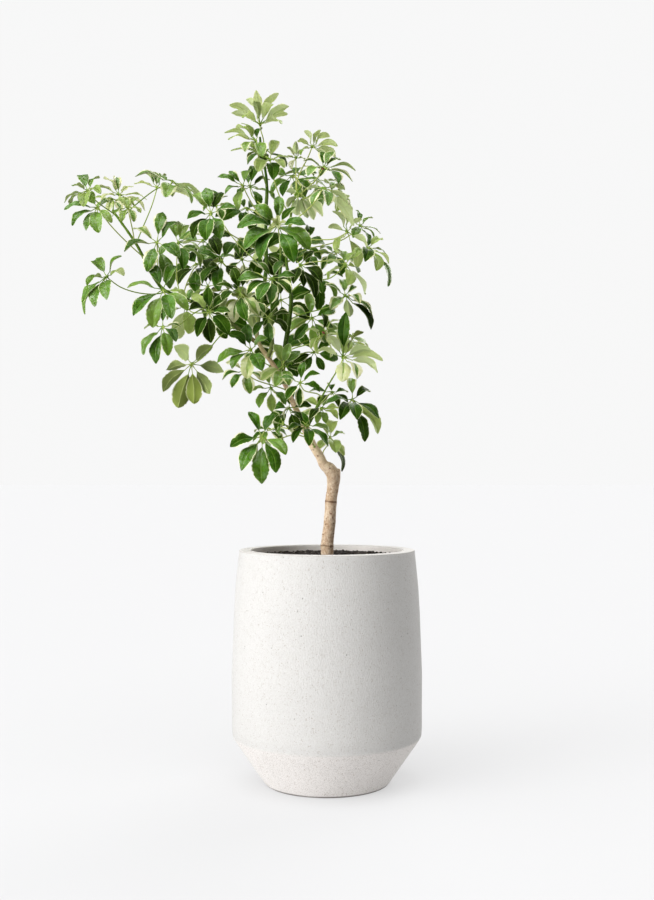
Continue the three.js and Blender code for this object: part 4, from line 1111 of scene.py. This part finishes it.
# Leaves that fill the crown behind and between the nodes: the pixel and depth (in mm behind the axis) of
# the hub, the way it opens (right, front, up), the leaflets' length in mm, how many, their tone and cream
FILLING_LEAVES = {
    "top_4": ((266, 150, 25), (0.0, 0.4, 0.9), 44, 6, 0.20, 0.20),
    "upper_3": ((247, 208, 60), (0.2, 0.6, 0.5), 54, 8, 0.30, 0.20),
    "right_top_7": ((292, 176, 50), (-0.2, 0.7, 0.5), 48, 7, 0.35, 0.35),
    "right_top_8": ((334, 192, 20), (0.5, 0.4, 0.7), 54, 7, 0.65, 0.35),
    "inner_left_9": ((196, 264, 70), (-0.3, 0.7, 0.4), 56, 6, 0.15, 0.20),
    "inner_left_10": ((203, 240, 95), (-0.2, 0.6, 0.5), 54, 6, 0.35, 0.20),
    "inner_left_11": ((218, 318, 60), (-0.3, 0.7, 0.3), 52, 6, 0.20, 0.25),
    "inner_left_12": ((226, 290, 110), (-0.2, -0.3, 0.8), 58, 6, 0.10, 0.15),
    "left_7": ((172, 181, -20), (0.35, 0.25, 0.9), 62, 6, 0.65, 0.30),
    "far_left_5": ((112, 199, 30), (0.0, 0.5, 0.8), 38, 7, 0.70, 0.60),
    "middle_6": ((281, 300, 60), (0.0, 0.8, 0.1), 58, 6, 0.10, 0.20),
    "middle_7": ((262, 250, 105), (0.0, 0.7, 0.3), 54, 6, 0.10, 0.20),
    "middle_8": ((250, 302, 125), (0.0, -0.4, 0.8), 56, 6, 0.10, 0.15),
    "middle_9": ((281, 350, 90), (0.1, 0.6, 0.3), 54, 6, 0.15, 0.20),
    "inner_right_4": ((312, 318, 10), (0.1, 0.8, 0.2), 46, 8, 0.55, 0.40),
    "inner_right_5": ((314, 352, 30), (0.1, 0.9, 0.0), 42, 6, 0.20, 0.30),
    "inner_right_6": ((303, 243, 60), (0.3, 0.7, 0.4), 48, 7, 0.30, 0.30),
    "right_6": ((336, 252, 80), (0.3, 0.5, 0.6), 46, 7, 0.50, 0.30),
    "low_right_4": ((350, 335, 60), (0.4, 0.3, 0.6), 54, 8, 0.80, 0.30),
    "low_right_5": ((322, 408, 50), (0.1, 0.5, 0.6), 38, 7, 0.75, 0.30),
    "low_right_6": ((332, 392, 20), (0.1, 0.5, 0.8), 38, 6, 0.25, 0.20),
    "low_left_4": ((289, 408, -20), (-0.2, 0.7, 0.5), 44, 7, 0.20, 0.15),
    "low_left_5": ((268, 428, 40), (-0.1, 0.5, 0.8), 36, 6, 0.40, 0.40),
}
STALK_SHARE = 0.17
BLADE_WIDTH = 0.46
BLADE_ARCH = 0.09
WHORL_TRIES = 10
WHORL_TURN = 0.61
STEMS = ("trunk", "stem_front", "stem_right", "stem_left", "stem_low_right")
STALKS_ABOVE = 0.55
HUB_ABOVE_FOOT = 0.03
NODE_LEAF_SEED = 100
FILLING_LEAF_SEED = 500


def spread_leaflets(hub, opening, size, count, turn, rng):
    """Leaflets all round a hub, like the ribs of an umbrella, hanging a little under their own weight."""
    across = crosswise(opening)
    third = opening.cross(across)
    leaflets = []
    for k in range(count):
        angle = turn + 2 * math.pi * (k + rng.uniform(-0.2, 0.2)) / count
        long = size * rng.uniform(0.8, 1.05)
        out = across * math.cos(angle) + third * math.sin(angle) - opening * rng.uniform(-0.1, 0.3)
        out = (out.normalized() - UP * rng.uniform(0.2, 0.5)).normalized()
        base, tip = hub + out * long * STALK_SHARE, hub + out * long
        blade = long * (1 - STALK_SHARE)
        half = blade * BLADE_WIDTH / 2
        leaflets.append(Leaflet(base, tip, crosswise(out, opening), half, blade * BLADE_ARCH))
    return leaflets


def room_round(leaflets, taken):
    """How much room the leaflets leave to the points already taken: the smaller half of their gaps, added."""
    spots = [point for leaflet in leaflets for point in leaflet.along((0.2, 0.5, 0.8))]
    gaps = sorted(min((point - other).length for other in taken) for point in spots)
    return sum(gaps[: len(gaps) // 2])


def roomiest_leaflets(hub, opening, size, count, taken):
    """The freest of some whorls, each turned a little further than the one before."""
    tries = []
    for attempt in range(WHORL_TRIES):
        found = spread_leaflets(hub, opening, size, count, attempt * WHORL_TURN, random.Random(attempt))
        tries.append((room_round(found, taken), attempt, found))
    return max(tries)[2]


def taken_by(leaflets):
    """The points that stand for the room that leaflets take."""
    return [point for leaflet in leaflets for point in leaflet.along((0.15, 0.5, 0.85))]


def stalk_to(hub, opening, stems, rng):
    """A stalk's middle line from the nearest stem below the hub, leaving the stem at a slant."""

    def effort(point):
        return (hub - point).length + 2.0 * max(0.0, point.z + HUB_ABOVE_FOOT - hub.z)

    foot = min(stems, key=effort)
    span = (hub - foot).length
    lift = UP * span * 0.10
    side = Vector((rng.uniform(-1, 1), rng.uniform(-1, 1), 0.0)) * span * 0.04
    first = foot.lerp(hub, 0.33) + lift * 0.6 + side
    second = foot.lerp(hub, 0.72) + lift + side - opening * span * 0.05
    return [foot, first, second, hub - opening * 5 * MM]


def grow_all_leaves():
    """The leaves of the nodes, and then the filling leaves, each where it finds the most room."""
    taken, stems = [], []
    for stem in STEMS:
        stems += [point for point in smooth_path(stem_course(stem)[0], 5) if point.z > STALKS_ABOVE]
    for number, node in enumerate(sorted(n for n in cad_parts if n.startswith("leaf_"))):
        leaf = read_leaf(node)
        for leaflet in leaf.leaflets:
            leaflet.look = LEAFLET_LOOKS.get(near_pixel(leaflet.tip, LEAFLET_LOOKS), LEAF_LOOKS[node])
            if near_pixel(leaflet.tip, TURNED_OVER):
                leaflet.upper, leaflet.arch = -leaflet.upper, -leaflet.arch
                leaflet.half *= TURNED_OVER_WIDTH
        grow_leaf(node.replace("leaf_", "foliage_"), leaf, random.Random(NODE_LEAF_SEED + number), [node])
        taken += taken_by(leaf.leaflets)
    for number, (name, (seat, facing, size, count, tone, cream)) in enumerate(FILLING_LEAVES.items()):
        rng = random.Random(FILLING_LEAF_SEED + number)
        hub = place(seat[0], seat[1], seat[2] * MM)
        opening = Vector((facing[0], -facing[1], facing[2])).normalized()
        leaflets = roomiest_leaflets(hub, opening, size * MM, count, taken)
        for leaflet in leaflets:
            leaflet.look = (tone, cream)
        leaf = Leaf(stalk_to(hub, opening, stems, rng), hub, opening, leaflets)
        grow_leaf("foliage_" + name, leaf, rng, [])
        taken += taken_by(leaflets)


# Stems

SIDE_STEM_STEPS = 8
SIDE_STEM_SIDES = 14
SIDE_STEM_UNEVEN = 0.25 * MM
SIDE_STEM_BUMPS = 160.0
SWELL = 0.10
TAPER_FROM = 0.25


def uneven(rings, path, depth, bumps, seed):
    """Pushes the rings' points in and out a little, so that no stem is quite round."""
    offset = Vector((seed, seed * 1.7, seed * 0.3))
    for middle, ring in zip(path, rings):
        for point in ring:
            push = noise.noise(point * bumps + offset) + 0.5 * noise.noise(point * bumps * 2.3 + offset)
            point += (point - middle).normalized() * push * depth
    return rings


def grow_stem(node, finish, tones, seed, taper=0.0):
    """A side stem, swollen a little where leaves left it, greener towards its end."""
    course, radii = stem_course(node)
    path = smooth_path(course, SIDE_STEM_STEPS)
    thick = smooth_numbers(radii, SIDE_STEM_STEPS)
    for i in range(len(path)):
        swollen = SWELL * max(0.0, math.sin(i * 0.9 + seed)) ** 6
        thinned = taper * min(1.0, max(0.0, i / (len(path) - 1) - TAPER_FROM) * 3)
        thick[i] *= (1 + swollen) * (1 - thinned)
    rings = rings_along(path, thick, SIDE_STEM_SIDES)
    form = Form(finish)
    form.loft(
        uneven(rings, path, SIDE_STEM_UNEVEN, SIDE_STEM_BUMPS, seed),
        finish,
        lambda share: {"tone": tones[0] + (tones[1] - tones[0]) * share, "chance": 0.1 * seed},
    )
    form.make(node.replace("stem_", "side_stem_"), [node])


# Trunk

GREEN_FROM, GREEN_ALL = 0.64, 0.76
GREENEST = 0.95
TRUNK_STEPS = 12
TRUNK_SIDES = 30
TRUNK_UNEVEN = 0.55 * MM
TRUNK_BUMPS = 70.0
TRUNK_SEED = 3.0

# The rows at which old leaf scars ring the trunk, with their depths, and how many rows a ring reaches
TRUNK_SCARS = {546: 0.95, 519: 0.60, 502: 0.90, 452: 0.55, 432: 0.50}
SCAR_REACH = 3.5
RIDGE_REACH = 4.0
RIDGE_RISE = 0.07

# The elbow stands out to the left, and beside it ends the stub of a cut branch, by pixels
ELBOW_ROW = 466
ELBOW_REACH = 9.0
ELBOW_NUDGE = 3.0 * MM
STUB_FOOT = (332, 488)
STUB_END = (336.5, 468.5)
STUB_BEND = Vector((1 * MM, -1 * MM, 0.0))
STUB_STEPS = 6
STUB_SIDES = 22
STUB_UNEVEN = 0.5 * MM
STUB_BUMPS = 120.0
STUB_SEED = 8.0
STUB_RADII = (7.5, 8.0, 8.2, 8.2, 8.1, 8.0, 7.9, 7.9, 7.8, 7.7, 7.5, 6.9, 5.6)
CUT_FROM = 0.93
CUT_STAIN = 0.62


def grow_trunk():
    """The trunk with its ring scars and elbow, and the stub of the branch that was cut off at the elbow."""
    course, radii = stem_course("trunk")
    path = smooth_path(course, TRUNK_STEPS)
    thick = smooth_numbers(radii, TRUNK_STEPS)
    bands = []
    for i, point in enumerate(path):
        row = seen_at(point)[1]
        band, ridge = 0.0, 0.0
        for scar, depth in TRUNK_SCARS.items():
            band = max(band, depth * (1 - abs(row - scar) / SCAR_REACH))
            ridge = max(ridge, depth * (1 - abs(row - scar) / RIDGE_REACH))
        bands.append(band)
        thick[i] *= 1 + RIDGE_RISE * ridge
        point.x -= ELBOW_NUDGE * max(0.0, 1 - abs(row - ELBOW_ROW) / ELBOW_REACH)
    last = len(path) - 1

    def marks(share):
        i = min(last, int(share * last))
        green = (path[i].z - GREEN_FROM) / (GREEN_ALL - GREEN_FROM)
        return {"tone": min(GREENEST, max(0.0, green)), "stain_and_painted_shade": bands[i]}

    form = Form("bark")
    rings = rings_along(path, thick, TRUNK_SIDES)
    form.loft(uneven(rings, path, TRUNK_UNEVEN, TRUNK_BUMPS, TRUNK_SEED), "bark", marks)
    foot, end = place(*STUB_FOOT), place(*STUB_END)
    stub = smooth_path([foot, (foot + end) / 2 + STUB_BEND, end], STUB_STEPS)
    rings = rings_along(stub, [radius * MM for radius in STUB_RADII], STUB_SIDES)
    form.loft(
        uneven(rings, stub, STUB_UNEVEN, STUB_BUMPS, STUB_SEED),
        "bark",
        lambda share: {"stain_and_painted_shade": CUT_STAIN if share > CUT_FROM else 0.0},
    )
    form.make("trunk_bark", ["trunk"])


# Planter

PLANTER_WIDEST, _, PLANTER_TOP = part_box("planter")[1]
PLANTER_SIDES = 180
LONGEST_STEP = 14 * MM
EDGE_LONGEST = 7 * MM
EDGES_ABOVE = PLANTER_TOP - 30 * MM
EDGE_ROUNDING = 2.0 * MM
EDGE_STEPS = 4

# From the first of these heights up the rim's rounded edge gets a line of painted shade, from the second
# painted light, from the third it is flat
RIM_EDGE_SHADE_FROM = PLANTER_TOP - 2.1 * MM
RIM_PAINTED_LIGHT_FROM = PLANTER_TOP - 0.6 * MM
RIM_FLAT_FROM = PLANTER_TOP - 0.5 * MM
RIM_EDGE_SHADE = 0.25
RIM_PAINTED_LIGHT = 0.3

# The side swells and sinks a little, as a casting does, but not where it stands
CASTING_WAVES = 14.0
CASTING_UNEVEN = 0.35
FLAT_BELOW = 1 * MM
ON_THE_AXIS = 1e-5


def meridian(node):
    """The points of a turned node on one side of its axis, in order round its section."""
    points, links = joined(node)
    flat = {i for i, p in enumerate(points) if abs(p.y) < ON_THE_AXIS and p.x > -ON_THE_AXIS}
    start = min(flat, key=lambda i: (points[i].z, points[i].x))
    order, here = [start], start
    while True:
        following = [i for i in links[here] if i in flat and i not in order]
        if not following:
            return [(points[i].x, points[i].z) for i in order]
        here = min(following, key=lambda i: (points[i] - points[here]).length)
        order.append(here)


def sharpened(section):
    """Brings the broken edges of the rim back to corners, since the real ones are barely rounded."""
    made = list(section)
    for i in range(len(made) - 3, 0, -1):
        (r0, z0), (r1, z1), (r2, z2), (r3, z3) = made[i - 1 : i + 3]
        if math.hypot(r2 - r1, z2 - z1) < EDGE_LONGEST and min(z1, z2) > EDGES_ABOVE:
            slope, lean = (r1 - r0, z1 - z0), (r3 - r2, z3 - z2)
            share = ((r2 - r0) * lean[1] - (z2 - z0) * lean[0]) / (slope[0] * lean[1] - slope[1] * lean[0])
            made[i : i + 2] = [(r0 + slope[0] * share, z0 + slope[1] * share)]
    return made


def rounded(section, reach):
    """Replaces each corner of a section by a short curve that starts this far before it."""
    made = [section[0]]
    for before, corner, after in zip(section, section[1:], section[2:]):
        b, c, a = (Vector((*p, 0.0)) for p in (before, corner, after))
        back, on = b - c, a - c
        cut = min(reach, back.length * 0.4, on.length * 0.4)
        start, end = c + back.normalized() * cut, c + on.normalized() * cut
        for k in range(EDGE_STEPS + 1):
            t = k / EDGE_STEPS
            point = start * (1 - t) ** 2 + c * 2 * t * (1 - t) + end * t**2
            made.append((point.x, point.y))
    return [*made, section[-1]]


def divided(section, longest):
    """Adds points on the long straight parts of a section."""
    made = [section[0]]
    for (r0, z0), (r1, z1) in zip(section, section[1:]):
        pieces = max(1, math.ceil(math.hypot(r1 - r0, z1 - z0) / longest))
        made += [(r0 + (r1 - r0) * k / pieces, z0 + (z1 - z0) * k / pieces) for k in range(1, pieces + 1)]
    return made


def turn_planter():
    """The planter's section turned round its axis, with the marks for painted shade on the rim's edge and
    painted light on its top and inside.
    """
    section = divided(rounded(sharpened(meridian("planter")), EDGE_ROUNDING), LONGEST_STEP)
    rings = []
    for r, z in section[1:-1]:
        ring = []
        for turn in turns(PLANTER_SIDES):
            point = about_axis(r, turn, z)
            push = noise.noise(point * CASTING_WAVES) * CASTING_UNEVEN * MM if z > FLAT_BELOW else 0.0
            ring.append(point + about_axis(1.0, turn, 0.0) * push)
        rings.append(ring)
    top = max(range(len(section)), key=lambda i: (section[i][1] > RIM_FLAT_FROM, i))

    def marks(share):
        row = int(share * (len(rings) - 1)) + 1
        z = (section[row][1] + section[min(row + 1, len(section) - 1)][1]) / 2
        # Painted light on the inside, and less of it on the rim's flat top
        if row > top:
            return {"inside": 1.0}
        if z > RIM_PAINTED_LIGHT_FROM:
            return {"inside": RIM_PAINTED_LIGHT}
        # Below it, a thin band of painted shade on the rim's rounded outer edge
        return {"stain_and_painted_shade": RIM_EDGE_SHADE if z > RIM_EDGE_SHADE_FROM else 0.0}

    form = Form("cast_stone")
    form.loft(rings, "cast_stone", marks)
    form.make("planter_shell", ["planter"], crease=math.radians(70))


# Soil

SOIL_LEVEL = PLANTER_TOP - 9.5 * MM
SOIL_EDGE = PLANTER_WIDEST - 32 * MM
SOIL_MIDDLE = 12 * MM
SOIL_FOOT = 300 * MM
SOIL_SIDES = 96
SOIL_STEPS = 30
SOIL_SEED = 5
SOIL_CHANCE = 0.2

# The lumps of the surface, as how many a metre and how high in mm, and how far it sinks at the wall
SOIL_LUMPS = {60: 1.6, 190: 1.4}
SUNK_FROM_STEP, SUNK_BY = 29, 1.2

# Loose clods: how many, and the least and the most of what differs between them
CLODS = 900
CLOD_SIDES = 6
CLOD_ROWS = 4
CLOD_RADIUS = (0.6, 2.4)
CLOD_RISE = (-0.4, 0.5)
CLOD_FLATNESS = (0.4, 0.9)
CLOD_KNOBS = (0.7, 1.15)


def soil_ring(radius, height):
    """A level ring of points in the soil."""
    return [about_axis(radius, turn, height) for turn in turns(SOIL_SIDES)]


def clod(rng):
    """The rings of one crumb of soil, somewhere on the surface."""
    r = math.sqrt(rng.uniform(0.02, 0.97)) * SOIL_EDGE
    turn = rng.uniform(0, 2 * math.pi)
    size = rng.uniform(*CLOD_RADIUS) * MM
    middle = about_axis(r, turn, SOIL_LEVEL + rng.uniform(*CLOD_RISE) * MM)
    flat = rng.uniform(*CLOD_FLATNESS)
    spin = Matrix.Rotation(rng.uniform(0, 6.28), 3, Vector((rng.random(), rng.random(), rng.random() + 0.1)))
    rings = []
    for k in range(1, CLOD_ROWS):
        tilt = math.pi * k / CLOD_ROWS
        ways = [about_axis(math.sin(tilt), b, math.cos(tilt) * flat) for b in turns(CLOD_SIDES)]
        rings.append([middle + spin @ (way * size * rng.uniform(*CLOD_KNOBS)) for way in ways])
    return rings


def fill_soil():
    """The uneven top of the soil, sunk a little at the wall, with loose clods on it."""
    rng = random.Random(SOIL_SEED)
    rings = [soil_ring(SOIL_MIDDLE, SOIL_LEVEL - 20 * MM)]
    for step in range(SOIL_STEPS + 1):
        ring = soil_ring(SOIL_MIDDLE + (SOIL_EDGE - SOIL_MIDDLE) * step / SOIL_STEPS, SOIL_LEVEL)
        for point in ring:
            rough = sum(noise.noise(point * bumps) * rise for bumps, rise in SOIL_LUMPS.items())
            point.z += (rough - (SUNK_BY if step >= SUNK_FROM_STEP else 0.0)) * MM
        rings.append(ring)
    rings.append(soil_ring(SOIL_EDGE, SOIL_FOOT))
    form = Form("potting_mix")
    form.loft(rings[::-1], "potting_mix", lambda share: {"chance": SOIL_CHANCE})
    for _ in range(CLODS):
        rings = clod(rng)
        chance = rng.random()
        form.loft(rings, "potting_mix", lambda share: {"chance": chance})
    form.make("soil_top", ["soil"], crease=math.radians(80))


# Floor and light

FLOOR_REACH = 60.0
FLOOR_FRONT = 1.0
FLOOR_PAPER = ink(136, 136, 137)
FLOOR_SHADE = ink(132, 132, 133)
FLOOR_GLOW = 0.462


def pale_paper():
    """Pale floor, lit a little from inside like a light table, so that shadows on it stay faint."""
    f = Finish("pale_floor", Specular_IOR_Level=0.0, Emission_Color=WHITE, Emission_Strength=FLOOR_GLOW)
    colour = f.mix(f.cloud(2.0, detail=2.0) * 0.04, FLOOR_PAPER, FLOOR_SHADE)
    f.give(Base_Color=colour, Roughness=0.95)
    return f.material


def lay_floor():
    """A wide floor under the planter, which ends between the planter and the camera."""
    mesh = bpy.data.meshes.new("floor")
    corners = [
        (-FLOOR_REACH, -FLOOR_FRONT, 0.0),
        (FLOOR_REACH, -FLOOR_FRONT, 0.0),
        (FLOOR_REACH, FLOOR_REACH, 0.0),
        (-FLOOR_REACH, FLOOR_REACH, 0.0),
    ]
    mesh.from_pydata(corners, [], [(0, 1, 2, 3)])
    mesh.materials.append(pale_paper())
    floor = bpy.data.objects.new("floor", mesh)
    bpy.context.scene.collection.objects.link(floor)


SKY_LIGHT = 0.120
SKY_SHOWN = 0.784

# For each soft light: its strength, the side that it comes from, and its spread in degrees
SOFT_LIGHTS = {
    "window": (2.30, Vector((-0.83, -0.55, 0.16)), 44),
    "overhead": (3.00, Vector((-0.22, -0.34, 1.0)), 76),
    "backdrop": (2.10, Vector((0.42, 0.85, 0.25)), 60),
}


def light_sky():
    """A white sky that gives less light than it shows to the camera."""
    world = bpy.data.worlds.new("studio")
    sky = ShaderNodes(world)
    out = sky.add("ShaderNodeOutputWorld")
    given, shown = (
        sky.add("ShaderNodeBackground", inputs={"Color": WHITE, "Strength": strength}).outputs[0]
        for strength in (SKY_LIGHT, SKY_SHOWN)
    )
    seen = sky.add("ShaderNodeLightPath").outputs["Is Camera Ray"]
    both = sky.add("ShaderNodeMixShader", inputs={0: seen, 1: given, 2: shown})
    sky.feed(out.inputs["Surface"], both.outputs[0])
    bpy.context.scene.world = world


def add_lights():
    """The soft lights, the sky, and the way the picture is developed."""
    light_sky()
    for name, (strength, side, spread) in SOFT_LIGHTS.items():
        light = bpy.data.lights.new(name, "SUN")
        light.energy = strength
        light.angle = math.radians(spread)
        holder = bpy.data.objects.new(name, light)
        holder.rotation_mode = "QUATERNION"
        holder.rotation_quaternion = side.to_track_quat("Z", "Y")
        bpy.context.scene.collection.objects.link(holder)
    bpy.context.scene.view_settings.view_transform = "Standard"
    bpy.context.scene.view_settings.look = "Medium High Contrast"


turn_planter()
fill_soil()
grow_trunk()
grow_stem("stem_front", "bark", (0.7, 1.0), 1)
grow_stem("stem_right", "green_stem", (0.15, 0.8), 2, taper=0.25)
grow_stem("stem_left", "green_stem", (0.10, 0.7), 3)
grow_stem("stem_low_right", "green_stem", (0.3, 1.0), 4, taper=0.5)
grow_all_leaves()
lay_floor()
add_lights()
